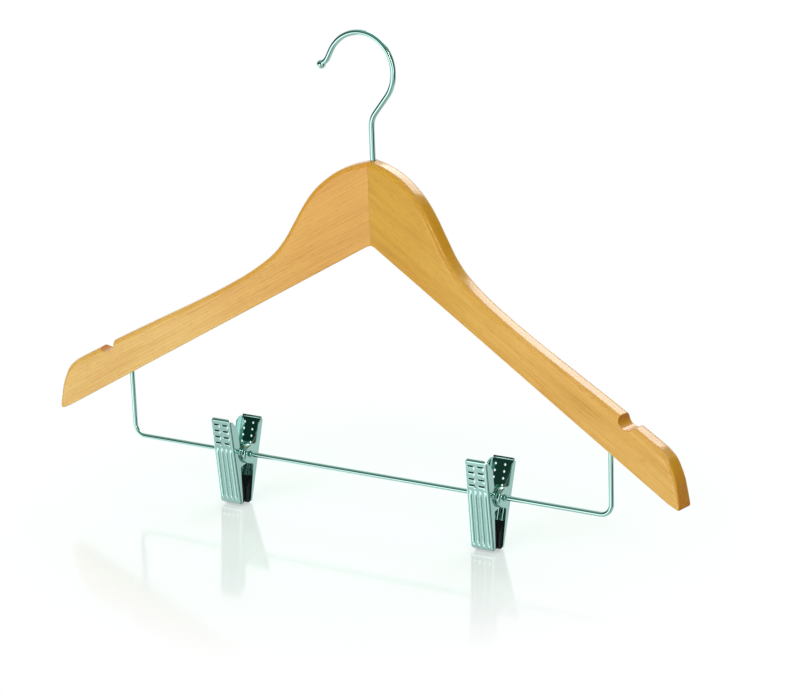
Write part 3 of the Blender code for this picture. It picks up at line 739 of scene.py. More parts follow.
@dataclass(frozen=True)
class ChromePlate:
    """Bright nickel-chrome plate, dipped and left unbuffed.

    It mirrors the studio with a cool green cast, and its faint haze varies over a few millimetres.
    """

    colour: str = "#B2D6D0"
    roughness_low: float = 0.05
    roughness_high: float = 0.11
    haze_mm: float = 5.0
    ripple_mm: float = 2.4

    def material(self, name: str) -> bpy.types.Material:
        """Build the plate's material: noise sets the haze, and finer noise a slight ripple.

        Args:
            name: the material's name.

        Returns:
            The material.
        """
        material, tree, shader = new_material(name)
        where = add_node(tree, "ShaderNodeTexCoord")
        haze = add_node(tree, "ShaderNodeTexNoise", {"Scale": 1.0 / (self.haze_mm * MM), "Detail": 3.0},
                        {"Vector": where.outputs["Object"]})
        dull = add_node(tree, "ShaderNodeMapRange", {"From Min": 0.3, "From Max": 0.7,
                                                     "To Min": self.roughness_low,
                                                     "To Max": self.roughness_high},
                        {"Value": haze.outputs[0]})
        ripple = add_node(tree, "ShaderNodeTexNoise", {"Scale": 1.0 / (self.ripple_mm * MM), "Detail": 1.0},
                          {"Vector": where.outputs["Object"]})
        relief = add_node(tree, "ShaderNodeBump", {"Strength": 0.10, "Distance": 0.00004},
                          {"Height": ripple.outputs[0]})
        tree.links.new(dull.outputs[0], shader.inputs["Roughness"])
        tree.links.new(relief.outputs[0], shader.inputs["Normal"])
        shader.inputs["Base Color"].default_value = linear(self.colour)
        shader.inputs["Metallic"].default_value = 1.0
        return material


@dataclass(frozen=True)
class SpringSteel:
    """Hard-drawn spring wire, bright from the die and dulled unevenly by its draw marks.

    Real draw marks are hundredths of a millimetre wide. They are drawn 0.3 mm wide, so that they show.
    """

    colour: str = "#9DABA6"
    mark_mm: float = 0.3

    def material(self, name: str) -> bpy.types.Material:
        """Build the wire's material: one noise sets both its dullness and its relief.

        Args:
            name: the material's name.

        Returns:
            The material.
        """
        material, tree, shader = new_material(name)
        where = add_node(tree, "ShaderNodeTexCoord")
        marks = add_node(tree, "ShaderNodeTexNoise", {"Scale": 1.0 / (self.mark_mm * MM), "Detail": 2.0},
                         {"Vector": where.outputs["Object"]})
        dull = add_node(tree, "ShaderNodeMapRange", {"To Min": 0.18, "To Max": 0.38},
                        {"Value": marks.outputs[0]})
        relief = add_node(tree, "ShaderNodeBump", {"Strength": 0.2, "Distance": 0.00002},
                          {"Height": marks.outputs[0]})
        tree.links.new(dull.outputs[0], shader.inputs["Roughness"])
        tree.links.new(relief.outputs[0], shader.inputs["Normal"])
        shader.inputs["Base Color"].default_value = linear(self.colour)
        shader.inputs["Metallic"].default_value = 1.0
        return material


@dataclass(frozen=True)
class MouldedRubber:
    """Black nitrile rubber from a satin mould, with a fine grit and a soft dull sheen.

    The mould's grit is finer than a tenth of a millimetre. It is drawn coarser, so that it shows.
    """

    colour: str = "#0F181A"
    hollow: str = "#091011"
    grit_mm: float = 0.35

    def material(self, name: str) -> bpy.types.Material:
        """Build the rubber's material: one noise sets its tone, its dullness and its relief.

        Args:
            name: the material's name.

        Returns:
            The material.
        """
        material, tree, shader = new_material(name)
        where = add_node(tree, "ShaderNodeTexCoord")
        grit = add_node(tree, "ShaderNodeTexNoise", {"Scale": 1.0 / (self.grit_mm * MM), "Detail": 2.0},
                        {"Vector": where.outputs["Object"]})
        tone = add_node(tree, "ShaderNodeValToRGB", {"stops": ((0.3, self.hollow), (0.7, self.colour))},
                        {"Fac": grit.outputs[0]})
        dull = add_node(tree, "ShaderNodeMapRange", {"To Min": 0.44, "To Max": 0.66},
                        {"Value": grit.outputs[0]})
        relief = add_node(tree, "ShaderNodeBump", {"Strength": 0.25, "Distance": 0.00005},
                          {"Height": grit.outputs[0]})
        shader.inputs["Specular IOR Level"].default_value = 0.25
        tree.links.new(tone.outputs[0], shader.inputs["Base Color"])
        tree.links.new(dull.outputs[0], shader.inputs["Roughness"])
        tree.links.new(relief.outputs[0], shader.inputs["Normal"])
        return material


class Finishes:
    """The finishes of the hanger, each built when it is first asked for."""

    def __init__(self) -> None:
        """Start with no material built."""
        self._built: dict[str, bpy.types.Material] = {}

    def _once(self, name: str, build: Callable[[str], bpy.types.Material]) -> bpy.types.Material:
        """Build a material the first time that its name is asked for.

        Args:
            name: the material's name.
            build: function from the name to the material.

        Returns:
            The material of that name.
        """
        if name not in self._built:
            self._built[name] = build(name)
        return self._built[name]

    def arm_wood(self, side: Side) -> bpy.types.Material:
        """Choose the lacquered wood of an arm, its fibres along the arm's lower edge.

        Args:
            side: the arm's side.

        Returns:
            The material.
        """
        slope = math.atan(WoodenArm(side).lower_slope)
        along = (side.value * math.cos(slope) * math.cos(SWEEP), -math.cos(slope) * math.sin(SWEEP),
                 -math.sin(slope))
        wood = LacqueredMaple() if side is Side.LEFT else LacqueredMaple(
            pale="#F2BE66", middle="#EAB254", deep="#D4983A", heart="#EEE89C")
        return self._once(side.word + "_lacquered_maple",
                          lambda name: wood.material(name, along, 0.37 if side is Side.LEFT else 0.83))

    def dowel_wood(self) -> bpy.types.Material:
        """Return the bare beech of the dowels, its fibres along X."""
        beech = LacqueredMaple(pale="#E2C08C", middle="#D2AB72", deep="#B98D55", end_grain="#A87C48")
        return self._once("turned_beech", lambda name: beech.material(name, (1.0, 0.0, 0.0), 1.9))

    def chrome(self) -> bpy.types.Material:
        """Return the chrome plate of the wires and the clips."""
        return self._once("chrome_plate", ChromePlate().material)

    def spring(self) -> bpy.types.Material:
        """Return the drawn steel of the springs and the pin."""
        return self._once("hard_drawn_spring_wire", SpringSteel().material)

    def rubber(self) -> bpy.types.Material:
        """Return the rubber of the pads."""
        return self._once("moulded_nitrile_rubber", MouldedRubber().material)


def dress(item: bpy.types.Object, material: bpy.types.Material) -> None:
    """Give an object one material in place of those that it has."""
    item.data.materials.clear()
    item.data.materials.append(material)


def settle(item: bpy.types.Object, material: bpy.types.Material,
           body: Optional[str]) -> bpy.types.Object:
    """Dress a piece, put it on its body and let it stand for the CAD node that it is named after.

    Args:
        item: the piece.
        material: its material.
        body: the CAD body that it rides on, or None for a piece left on no body.

    Returns:
        The piece.
    """
    dress(item, material)
    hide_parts(item.name.replace("_surface", ""))
    if body is not None:
        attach(item, body)
    LOG.info("%s: %d faces on %s", item.name, len(item.data.polygons), body or "two bodies")
    return item


# Wooden arms


@dataclass(frozen=True)
class WoodenArm:
    """One solid wooden arm with a rounded top edge, a strap notch and a mitred inner end.

    The outline's tables hold shares of the reach and of the neck's height. The tip's radii are paired
    with shares of the way round the tip. Bores are given by their radii, ends and places.
    """

    side: Side
    half_thickness: float = 6.0
    reach: float = ARM_REACH
    tip_drop: float = ARM_DROP
    neck_height: float = 50.0
    top_rounding: float = 3.5
    arris: float = 0.5
    glue_line: float = 0.1
    apex_drop: float = 1.0
    notch_radius: float = 5.8
    notch_place: float = 186.7
    notch_level: float = -76.69
    corner: float = 0.6
    apex_run: float = 3.58
    shank_bore: float = 2.0
    shank_ends: tuple[float, float] = (24.4, 60.0)
    leg_bore: float = 1.8
    leg_run: float = 30.0
    leg_play: float = 0.3
    dowel_bore: float = 2.8
    dowel_half: float = 12.3
    dowel_depth: float = -1.0
    dowel_levels: tuple[float, float] = (7.0, 18.0)
    pin_bore: float = 1.1
    pin_place: tuple[float, float] = (2.0, 30.0)
    pin_ends: tuple[float, float] = (-3.4, 16.0)
    tip_radii: tuple[tuple[float, float], ...] = (
        (0.0, 3.5), (0.25, 3.0), (0.6, 2.2), (0.85, 1.1), (1.0, 0.6))
    top_shares: tuple[tuple[float, float], ...] = (
        (0.000, 1.000), (0.054, 1.072), (0.108, 1.098), (0.162, 1.044), (0.200, 0.930), (0.234, 0.768),
        (0.270, 0.606), (0.315, 0.506), (0.395, 0.454), (0.517, 0.452), (0.674, 0.492), (0.809, 0.526),
        (0.917, 0.540), (0.990, 0.560), (1.050, 0.560))
    tip_shares: tuple[tuple[float, float], ...] = (
        (0.900, 0.600), (0.936, 0.546), (0.954, 0.524), (0.966, 0.494), (0.978, 0.416), (0.987, 0.330),
        (0.993, 0.220), (0.9975, 0.106), (0.9990, 0.048), (0.9960, 0.022), (0.9900, 0.012), (0.965, 0.000))

    @property
    def lower_slope(self) -> float:
        """How far the lower edge falls for each millimetre along the arm."""
        return self.tip_drop / self.reach

    def from_shares(self, shares: Sequence[tuple[float, float]]) -> np.ndarray:
        """Turn shares of the reach and of the neck's height above the lower edge into points.

        Args:
            shares: pairs of a share of the reach and a share of the neck's height.

        Returns:
            The points, along and up.
        """
        table = np.array(shares)
        along = table[:, 0] * self.reach
        return np.stack([along, table[:, 1] * self.neck_height - self.lower_slope * along], axis=1)

    def top_curve(self) -> np.ndarray:
        """Return the top edge from beyond the mitre to beyond the tip."""
        level = np.array([[-10.0, self.neck_height]])
        return np.vstack([level, curve_through(self.from_shares(self.top_shares), 14)])

    def rim_curve(self) -> tuple[np.ndarray, np.ndarray, float]:
        """Return the edge from before the notch over the tip and back along the lower edge.

        Returns:
            The points of the curve, the rounding radius at each, and the distance along the curve at
            which the straight lower edge begins.
        """
        top = self.top_curve()
        tip = curve_through(self.from_shares(self.tip_shares), 10)
        above = tip[:, 1] - np.interp(tip[:, 0], top[:, 0], top[:, 1])
        meet = int(np.argmax(above < 0.0))
        begin = self.notch_place - 2.0
        upper = top[(top[:, 0] > begin) & (top[:, 0] < tip[meet, 0] - 1.5)]
        lower_run = np.linspace(tip[-1, 0], self.apex_run, 60)[1:]
        lower = np.stack([lower_run, -self.lower_slope * lower_run], axis=1)
        apex = np.array([[0.0, -self.apex_drop], [-3.0, -self.apex_drop]])
        path = np.vstack([upper, tip[meet + 1:], lower, apex])
        count_tip = len(upper) + len(tip[meet + 1:])
        along = lengths(path)
        straight = along[count_tip - 1]
        even = np.concatenate([np.arange(0.0, straight, 0.35), np.linspace(straight, along[-1], 260)])
        path = sample(path, even)
        near_tip = (even > 6.0) & (even < straight)
        path = np.where(near_tip[:, None], blurred(path), path)
        turn_start = along[len(upper) - 1]
        fade = np.clip((even - turn_start) / (straight - turn_start), 0.0, 1.0)
        tip_radius = np.interp(fade, *np.array(self.tip_radii).T)
        radii = np.where(even < turn_start, self.top_rounding, tip_radius)
        radii = np.where(even >= straight, self.arris, radii)
        return path, radii, float(straight)

    def levels(self) -> np.ndarray:
        """Spread the levels through the thickness, close together where an edge turns.

        Returns:
            The levels, from the front face to the back face of the board.
        """
        half = self.half_thickness
        wide = half - self.top_rounding + self.top_rounding * np.sin(np.linspace(0.0, 0.5 * math.pi, 12))
        fine = half - self.arris + self.arris * np.sin(np.linspace(0.0, 0.5 * math.pi, 5))
        outer = np.unique(np.round(np.concatenate([wide, fine]), 3))
        return np.concatenate([-outer[::-1], outer])

    @property
    def notch(self) -> np.ndarray:
        """The centre of the strap notch's circle, along and up."""
        return np.array([self.notch_place, self.notch_level])

    def upper_edge(self, drawn: np.ndarray, mitre: float, radius: float) -> tuple[np.ndarray, np.ndarray]:
        """Take the top edge from the mitre to just before the notch, closer together near the notch.

        Args:
            drawn: the top edge at this level.
            mitre: where the mitre is at this level.
            radius: the notch's radius at this level.

        Returns:
            The edge's points, and the point where it meets the notch's circle.
        """
        notch = self.notch
        span = np.linspace(notch[0] - 14.0, notch[0], 900)
        fall = np.interp(span, drawn[:, 0], drawn[:, 1])
        entry = span[int(np.argmax(np.hypot(span - notch[0], fall - notch[1]) < radius))]
        before = entry - self.corner
        share = np.linspace(0.0, 1.0, 210)
        along = mitre + (before - mitre) * (1.0 - (1.0 - share) ** 1.25)
        upper = np.stack([along, np.interp(along, drawn[:, 0], drawn[:, 1])], axis=1)
        return upper, np.array([entry, np.interp(entry, drawn[:, 0], drawn[:, 1])])

    def outer_edge(self, drawn: np.ndarray, straight: float, mitre: float,
                   radius: float) -> tuple[np.ndarray, np.ndarray]:
        """Take the edge from just past the notch, over the tip and back to the mitre.

        Args:
            drawn: the edge at this level.
            straight: distance along it at which the straight lower edge begins.
            mitre: where the mitre is at this level.
            radius: the notch's radius at this level.

        Returns:
            The edge's points, and the point where it leaves the notch's circle.
        """
        notch = self.notch
        travelled = lengths(drawn)
        gone = np.hypot(*(drawn - notch).T) > radius
        leave = float(travelled[int(np.argmax(gone & (drawn[:, 0] > notch[0])))])
        stop = float(travelled[-1]) + (drawn[-1, 0] - mitre)
        start = leave + self.corner
        places = np.concatenate([start + (straight - start) * np.linspace(0.0, 1.0, 150),
                                 straight + (stop - straight) * np.linspace(0.0, 1.0, 90)[1:]])
        return sample(drawn, places), sample(drawn, np.array([leave]))[0]

    def bay(self, entry: np.ndarray, leave: np.ndarray, radius: float) -> np.ndarray:
        """Carry the notch's circle from one edge to the other, short of both corners.

        Args:
            entry: the point where the top edge meets the circle.
            leave: the point where the outer edge leaves it.
            radius: the circle's radius at this level.

        Returns:
            The arc's points.
        """
        first = math.atan2(*(entry - self.notch)[::-1]) % (2.0 * math.pi)
        last = math.atan2(*(leave - self.notch)[::-1]) % (2.0 * math.pi)
        last += 2.0 * math.pi if last < first else 0.0
        trim = self.corner / radius
        turn = np.linspace(first + trim, last - trim, 46)
        return self.notch + radius * np.stack([np.cos(turn), np.sin(turn)], axis=1)

    def outline(self, level: float, top: np.ndarray, rim: np.ndarray, radii: np.ndarray,
                straight: float) -> np.ndarray:
        """Join the arm's outline at one level through its thickness.

        The top edge and the rim are drawn in along their normals by their rounding, the notch grows by
        its own, and each stretch is sampled between its crossings with its neighbours.

        Args:
            level: distance through the board from its middle.
            top: the top edge, undrawn.
            rim: the edge from the notch over the tip and back, undrawn.
            radii: the rounding's radius at each point of the rim.
            straight: distance along the rim at which the straight lower edge begins.

        Returns:
            The closed outline, as many points at every level.
        """
        half = self.half_thickness
        mitre = (0.5 * self.glue_line - level * math.sin(SWEEP)) / math.cos(SWEEP)
        radius = self.notch_radius + float(rounding(self.arris, half, level))
        drawn = top - normals_2d(top) * rounding(self.top_rounding, half, level)
        inner = rim + normals_2d(rim) * -rounding(radii, half, level)[:, None]
        whole = float(lengths(inner)[int(np.argmin(np.abs(lengths(rim) - straight)))])
        upper, entry = self.upper_edge(drawn, mitre, radius)
        edge, leave = self.outer_edge(inner, whole, mitre, radius)
        bay = self.bay(entry, leave, radius)
        rise = np.linspace(0.0, 1.0, 14)[1:-1, None]
        joint = edge[-1] + (upper[0] - edge[-1]) * rise
        return np.vstack([upper, ease(upper[-1], entry, bay[0]), bay, ease(bay[-1], leave, edge[0]), edge,
                          joint])

    def to_hanger(self, points: np.ndarray) -> np.ndarray:
        """Turn points about Z by the sweep, and mirror them for the left arm.

        Args:
            points: array whose last axis holds along, up and through the board.

        Returns:
            The same points in the hanger's frame.
        """
        along, up, through = points[..., 0], points[..., 1], points[..., 2]
        side = self.side.value
        across = side * (along * math.cos(SWEEP) + through * math.sin(SWEEP))
        return np.stack([across, through * math.cos(SWEEP) - along * math.sin(SWEEP), up], axis=-1)

    def mesh(self) -> bpy.types.Mesh:
        """Join one outline for each level into a closed shell.

        A ring just inside each face's edge keeps the shading of the flat face clear of the edge.

        Returns:
            The arm's mesh, before its bores.
        """
        top = self.top_curve()
        rim, radii, straight = self.rim_curve()
        levels = self.levels()
        rings = np.stack([self.outline(level, top, rim, radii, straight) for level in levels])
        guard = []
        for ring in (rings[0], rings[-1]):
            following = np.roll(ring, -1, axis=0) - np.roll(ring, 1, axis=0)
            following /= np.linalg.norm(following, axis=1, keepdims=True)
            guard.append(ring + 0.25 * np.stack([following[:, 1], -following[:, 0]], axis=1))
        rings = np.concatenate([guard[0][None], rings, guard[1][None]])
        depth = np.concatenate([levels[:1], levels, levels[-1:]])
        depth = np.broadcast_to(depth[:, None, None], (*rings.shape[:2], 1))
        return shell(self.side.word + "_arm_surface", self.to_hanger(np.concatenate([rings, depth], axis=2)))

    def build(self, finishes: Finishes) -> bpy.types.Object:
        """Build, bore and dress the arm.

        The bores take the hook's shank, the bar's leg and the two dowels, and on the right arm the pin.

        Args:
            finishes: the hanger's finishes.

        Returns:
            The arm.
        """
        item = link(self.side.word + "_arm_surface", self.mesh())
        leg = self.side.value * BAR_HALF_SPAN
        floor, mouth = self.shank_ends
        bores = [((0.0, 0.0, floor), (0.0, 0.0, mouth), self.shank_bore),
                 ((leg, BAR_FORWARD, LEG_TOP - self.leg_run), (leg, BAR_FORWARD, LEG_TOP + self.leg_play),
                  self.leg_bore)]
        bores += [((-self.dowel_half, self.dowel_depth, level), (self.dowel_half, self.dowel_depth, level),
                   self.dowel_bore) for level in self.dowel_levels]
        carve(item, rods("bores", bores))
        if self.side is Side.RIGHT:
            along, up = self.pin_place
            floor, mouth = self.pin_ends
            carve(item, rods("pin_hole", [((along, floor, up), (along, mouth, up), self.pin_bore)]))
        return settle(item, finishes.arm_wood(self.side), "hanger")


# Hook and bar


@dataclass(frozen=True)
class SwivelHook:
    """The bent wire hook with its ball end and its grooved shank."""

    wire: float = 1.7
    loop_radius: float = 22.8
    centre: tuple[float, float] = (-6.6, 102.9)
    loop_start: float = math.radians(151.0)
    loop_end: float = math.radians(-38.6)
    tip_run: float = 5.5
    tip_bend: float = 6.0
    tip_turn: float = math.radians(25.0)
    tip_end: float = 3.5
    ball: float = 2.7
    shank_bend: float = 14.0
    shank_end: float = 25.0
    groove_level: float = 30.0
    groove_floor: float = 0.9
    groove_half: float = 1.1

    def centre_line(self) -> np.ndarray:
        """Join the wire's centre line from arcs and straight runs, each tangent to the next.

        Returns:
            The line from the ball to the shank's lower end, in X and Z.
        """
        loop = arc(self.centre, self.loop_radius, self.loop_start, self.loop_end, 2.5)
        heading = np.array([-math.sin(self.loop_start), math.cos(self.loop_start)])
        start = loop[0] + heading * self.tip_run
        hub = start + self.tip_bend * np.array([heading[1], -heading[0]])
        first = math.atan2(*(start - hub)[::-1])
        bend = arc(hub, self.tip_bend, first, first - self.tip_turn, 3.0)
        cosine, sine = math.cos(self.tip_turn), math.sin(self.tip_turn)
        final = np.array([heading[0] * cosine + heading[1] * sine, heading[1] * cosine - heading[0] * sine])
        lean = abs(self.loop_end)
        run = (loop[-1][0] - self.shank_bend * (1.0 - math.cos(lean))) / math.sin(lean)
        low = loop[-1][1] - run * math.cos(lean) - self.shank_bend * math.sin(lean)
        shank = arc((self.shank_bend, low), self.shank_bend, math.pi - lean, math.pi, 2.5)
        foot = np.array([[0.0, self.shank_end]])
        return np.vstack([bend[-1] + final * self.tip_end, bend[::-1], loop, shank, foot])

    def build(self, finishes: Finishes) -> bpy.types.Object:
        """Carry the wire's circle along the centre line.

        The radius is the ball's circle near the upper end, the wire's along it, a groove in the shank
        and a small chamfer at its foot.

        Args:
            finishes: the hanger's finishes.

        Returns:
            The hook.
        """
        line = self.centre_line()
        total = float(lengths(line)[-1])
        ball = self.ball
        swell = -ball * np.cos(np.linspace(0.0, math.pi, 22))
        cut = math.sqrt(ball ** 2 - self.wire ** 2)
        swell = swell[swell < cut]
        groove = total - (self.groove_level - self.shank_end)
        steps = [groove - self.groove_half, groove + self.groove_half]
        even = np.arange(cut, total - 0.4, 0.55)
        fine = np.array([cut, *(edge + shift for edge in steps for shift in (-0.01, 0.01)), total - 0.4])
        places = np.sort(np.concatenate([swell, even, fine, [total - 0.2, total]]))
        radii = np.where(places < cut, np.sqrt(np.maximum(ball ** 2 - places ** 2, 1e-4)), self.wire)
        radii = np.where((places > steps[0]) & (places < steps[1]), self.groove_floor, radii)
        radii = np.where(places > total - 0.3, self.wire - 0.15, radii)
        radii[-1] = self.wire - 0.45
        ahead = line[0] - line[1]
        ahead /= np.linalg.norm(ahead)
        flat = sample(line, places) + np.minimum(places, 0.0)[:, None] * -ahead[None]
        path = np.stack([flat[:, 0], np.zeros(len(flat)), flat[:, 1]], axis=1)
        item = link("hook_surface", smooth(tube("hook_surface", path, radii, (0.0, 1.0, 0.0), 28)))
        return settle(item, finishes.chrome(), "hook_body")


@dataclass(frozen=True)
class TrouserBar:
    """The straight wire bar with an upturned leg at each end."""

    bend: float = 7.0

    def build(self, finishes: Finishes) -> bpy.types.Object:
        """Carry the wire's circle along two legs, two bends and the straight bar.

        Args:
            finishes: the hanger's finishes.

        Returns:
            The bar.
        """
        corner = BAR_HALF_SPAN - self.bend
        level = BAR_LEVEL + self.bend
        left = arc((-corner, level), self.bend, math.pi, 1.5 * math.pi, 5.0)
        right = arc((corner, level), self.bend, 1.5 * math.pi, 2.0 * math.pi, 5.0)
        rising = np.linspace(LEG_TOP, level, 12)[:-1]
        legs = np.stack([np.full(11, -BAR_HALF_SPAN), rising], axis=1)
        span = np.stack([np.linspace(-corner, corner, 90)[1:-1], np.full(88, BAR_LEVEL)], axis=1)
        flat = np.vstack([legs, left, span, right, (legs * [-1.0, 1.0])[::-1]])
        radii = np.full(len(flat), BAR_RADIUS)
        path = np.stack([flat[:, 0], np.full(len(flat), BAR_FORWARD), flat[:, 1]], axis=1)
        item = link("trouser_bar_surface",
                    smooth(tube("trouser_bar_surface", path, radii, (0.0, 1.0, 0.0), 24)))
        return settle(item, finishes.chrome(), "hanger")


# Clips


@dataclass(frozen=True)
class ClipSizes:
    """Sizes that the pieces of a clip share."""

    sheet: float = 0.7
    angle: float = math.radians(12.9)
    standoff: float = 12.5
    width: float = 15.3
    flare: float = 1.3
    bottom: float = 29.7
    front_handle: float = 27.2
    bend: float = 1.2
    ear: float = 6.1
    fit: float = 0.3
    rivet: float = 2.4

    @property
    def wide(self) -> float:
        """The rear jaw's width, whose ears lie outside the front jaw's."""
        return self.width + 2.0 * (self.sheet + self.fit)


class JawForm(Enum):
    """A clip's two jaws: the height of the handle, the depth of its flange, the drop of its shoulder."""

    FRONT = (27.2, 6.7, 7.5)
    REAR = (23.6, 5.0, 4.2)

    @property
    def word(self) -> str:
        """The jaw's word in the CAD nodes' names."""
        return self.name.lower()


@dataclass(frozen=True)
class Placement:
    """Where a clip's piece stands: its place along the bar, its hang and its turn about the clip."""

    along: float
    hang: float
    lean: float = 0.0
    turned: bool = False

    def __call__(self, points: np.ndarray) -> np.ndarray:
        """Turn points about X by the lean, about Z where turned, about X by the hang, then shift them.

        Args:
            points: array whose last axis holds X, Y and Z in the piece's own frame.

        Returns:
            The same points in the hanger's frame.
        """
        turn = Matrix.Rotation(self.hang, 3, "X")
        if self.turned:
            turn = turn @ Matrix.Rotation(math.pi, 3, "Z")
        turn = np.array(turn @ Matrix.Rotation(self.lean, 3, "X"))
        return points @ turn.T + np.array([self.along, BAR_FORWARD, BAR_LEVEL])


@dataclass(frozen=True)
class PressedJaw:
    """A jaw pressed from sheet: embossed, beaded, folded to a channel and rolled at the top."""

    name: str
    width: float
    handle: float
    flange: float
    shoulder: float
    common: ClipSizes = field(default_factory=ClipSizes)
    lower_flange: float = 4.7
    toe: float = 1.9
    lip: float = 1.5
    mark_length: float = 5.0
    mark_height: float = 1.25
    mark_depth: float = 0.56
    mark_spread: float = 6.6
    mark_pitch: float = 4.1
    mark_rows: int = 4
    mark_start: float = 4.0
    mark_hole: float = 0.7
    mark_drop: float = 0.8
    beads: int = 4
    bead_spacing: float = 3.3
    bead_half: float = 0.95
    bead_proud: float = 0.5
    bead_gap: float = 4.1
    bead_bottom: float = -26.3
    bead_fade: float = 1.8
    arris: float = 0.11

    @property
    def flat_half(self) -> float:
        """Half of the web's width between the two bends."""
        return self.width / 2.0 - self.common.bend

    @property
    def bend_run(self) -> float:
        """Length of sheet in one bend, along its middle."""
        return 0.5 * math.pi * (self.common.bend - self.common.sheet / 2.0)

    @property
    def mark_levels(self) -> np.ndarray:
        """Heights of the rows of grip marks, from the top row down."""
        return self.handle - self.mark_start - self.mark_pitch * np.arange(self.mark_rows)

    def spread(self, depth: np.ndarray) -> np.ndarray:
        """Turn depths behind the web's outer face into distances across the flat blank."""
        return self.flat_half + self.bend_run + np.asarray(depth, float) - self.common.bend

    def blank(self) -> tuple[np.ndarray, list[np.ndarray]]:
        """Lay out the flat blank.

        Returns:
            The outline and the holes, in distance across the sheet and height.
        """
        common = self.common
        top = self.handle - self.lip
        bottom = -common.bottom
        ear = arc((common.standoff, 0.0), common.ear, -0.5 * math.pi, 0.5 * math.pi, 5.0)
        rise = self.handle - self.shoulder
        side = np.array([[self.toe, bottom], [self.toe + 0.25, bottom + self.toe * 0.5],
                         [self.lower_flange, -common.ear - 0.8], [self.lower_flange + 1.0, -common.ear],
                         *ear, [self.flange + 1.0, common.ear + common.fit],
                         [self.flange, common.ear + common.fit + 1.0], [self.flange, rise - 0.6],
                         [self.flange - 0.35, rise], [self.toe + 0.5, top - 0.5], [self.toe, top]])
        half = np.stack([self.spread(side[:, 0]), side[:, 1]], axis=1)
        roll = 0.5 * math.pi * (self.lip - common.sheet / 2.0)
        tab = np.array([[self.flat_half + 0.02, top], [self.flat_half - 0.05, top + roll * 0.7],
                        [self.flat_half - 0.5, top + roll]])
        right = np.vstack([half, tab])
        outline = np.vstack([right, right[::-1] * [-1.0, 1.0]])
        holes = []
        hub = float(self.spread(np.array(common.standoff)))
        for side_sign in (-1.0, 1.0):
            holes.append(arc((side_sign * hub, 0.0), common.rivet + common.fit, 0.0, 2.0 * math.pi,
                             12.0)[:-1])
            holes.extend(arc((0.5 * side_sign * self.mark_spread + 0.5 * self.mark_length - self.mark_hole,
                              level - self.mark_drop), self.mark_hole, 0.0, 2.0 * math.pi, 20.0)[:-1]
                         for level in self.mark_levels)
        return outline, holes

    def grid(self, loops: Sequence[np.ndarray]) -> np.ndarray:
        """Fill the blank with points, closer together on the bends, the web and the marks.

        Points that lie almost on an edge of the outline or of a hole are left out.

        Args:
            loops: the outline and the holes.

        Returns:
            The points inside the outline and outside the holes.
        """
        web = np.arange(-self.flat_half, self.flat_half + 0.01, 0.31)
        bend = np.linspace(self.flat_half, self.flat_half + self.bend_run, 9)[1:]
        flange = np.arange(self.flat_half + self.bend_run + 0.9, self.flat_half + 22.0, 0.9)
        across = np.concatenate([-flange[::-1], -bend[::-1], web, bend, flange])
        up = np.concatenate([np.arange(-self.common.bottom + 0.4, self.handle - self.lip, 0.75),
                             np.linspace(self.handle - self.lip, self.handle + 0.6, 9)])
        marked = np.concatenate([level + np.linspace(-0.55, 0.55, 10) * self.mark_height
                                 for level in self.mark_levels])
        points = np.concatenate([np.stack(np.meshgrid(columns, rows, indexing="ij"), axis=-1).reshape(-1, 2)
                                 for columns, rows in ((across, up), (web, marked))])
        keep = np.zeros(len(points), bool)
        clear = np.full(len(points), np.inf)
        for loop in loops:
            start, end = loop, np.roll(loop, -1, axis=0)
            run = end - start
            share = np.clip(((points[:, None] - start) * run).sum(-1) / (run ** 2).sum(-1), 0.0, 1.0)
            gap = np.linalg.norm(points[:, None] - start - share[..., None] * run, axis=2).min(axis=1)
            clear = np.minimum(clear, gap)
            keep ^= inside(points, loop)
        return points[keep & (clear > 0.16)]

    def fold(self, flat: np.ndarray) -> np.ndarray:
        """Fold the flat blank's points to the pressed shape's middle surface.

        Across, the web runs straight, then round a quarter circle, then straight back along the flange.
        Upwards, the lip follows a quarter circle from the top of the web. Each bead lifts the web by a
        bell curve across it that fades out at its two ends.

        Args:
            flat: points of the blank, in distance across and height.

        Returns:
            The same points in the jaw's frame.
        """
        common = self.common
        across, up = flat[:, 0], flat[:, 1]
        sign, reach = np.sign(across), np.abs(across)
        middle = common.bend - common.sheet / 2.0
        turn = np.clip((reach - self.flat_half) / middle, 0.0, 0.5 * math.pi)
        beyond = np.maximum(reach - self.flat_half - self.bend_run, 0.0)
        out = np.minimum(reach, self.flat_half) + middle * np.sin(turn)
        back = common.sheet / 2.0 + middle * (1.0 - np.cos(turn)) + beyond
        roll = self.lip - common.sheet / 2.0
        curl = np.clip((up - (self.handle - self.lip)) / roll, 0.0, 0.5 * math.pi)
        back = back + np.where(reach <= self.flat_half + 0.1, roll * (1.0 - np.cos(curl)), 0.0)
        height = np.minimum(up, self.handle - self.lip) + roll * np.sin(curl)
        places = (np.arange(self.beads) - 0.5 * (self.beads - 1)) * self.bead_spacing
        offset = (across[:, None] - places) / self.bead_half
        bell = np.where(np.abs(offset) < 1.0, (1.0 - offset ** 2) ** 2, 0.0).sum(axis=1)
        bead_top = self.mark_levels[-1] - self.bead_gap
        ends = np.clip((up - self.bead_bottom) / self.bead_fade, 0.0, 1.0)
        ends *= np.clip((bead_top - up) / self.bead_fade, 0.0, 1.0)
        back = back - self.bead_proud * bell * np.sqrt(ends)
        share = common.flare / common.width
        out = out * (1.0 - share * height / (common.front_handle + common.bottom))
        return np.stack([sign * out, back - common.standoff, height], axis=1)

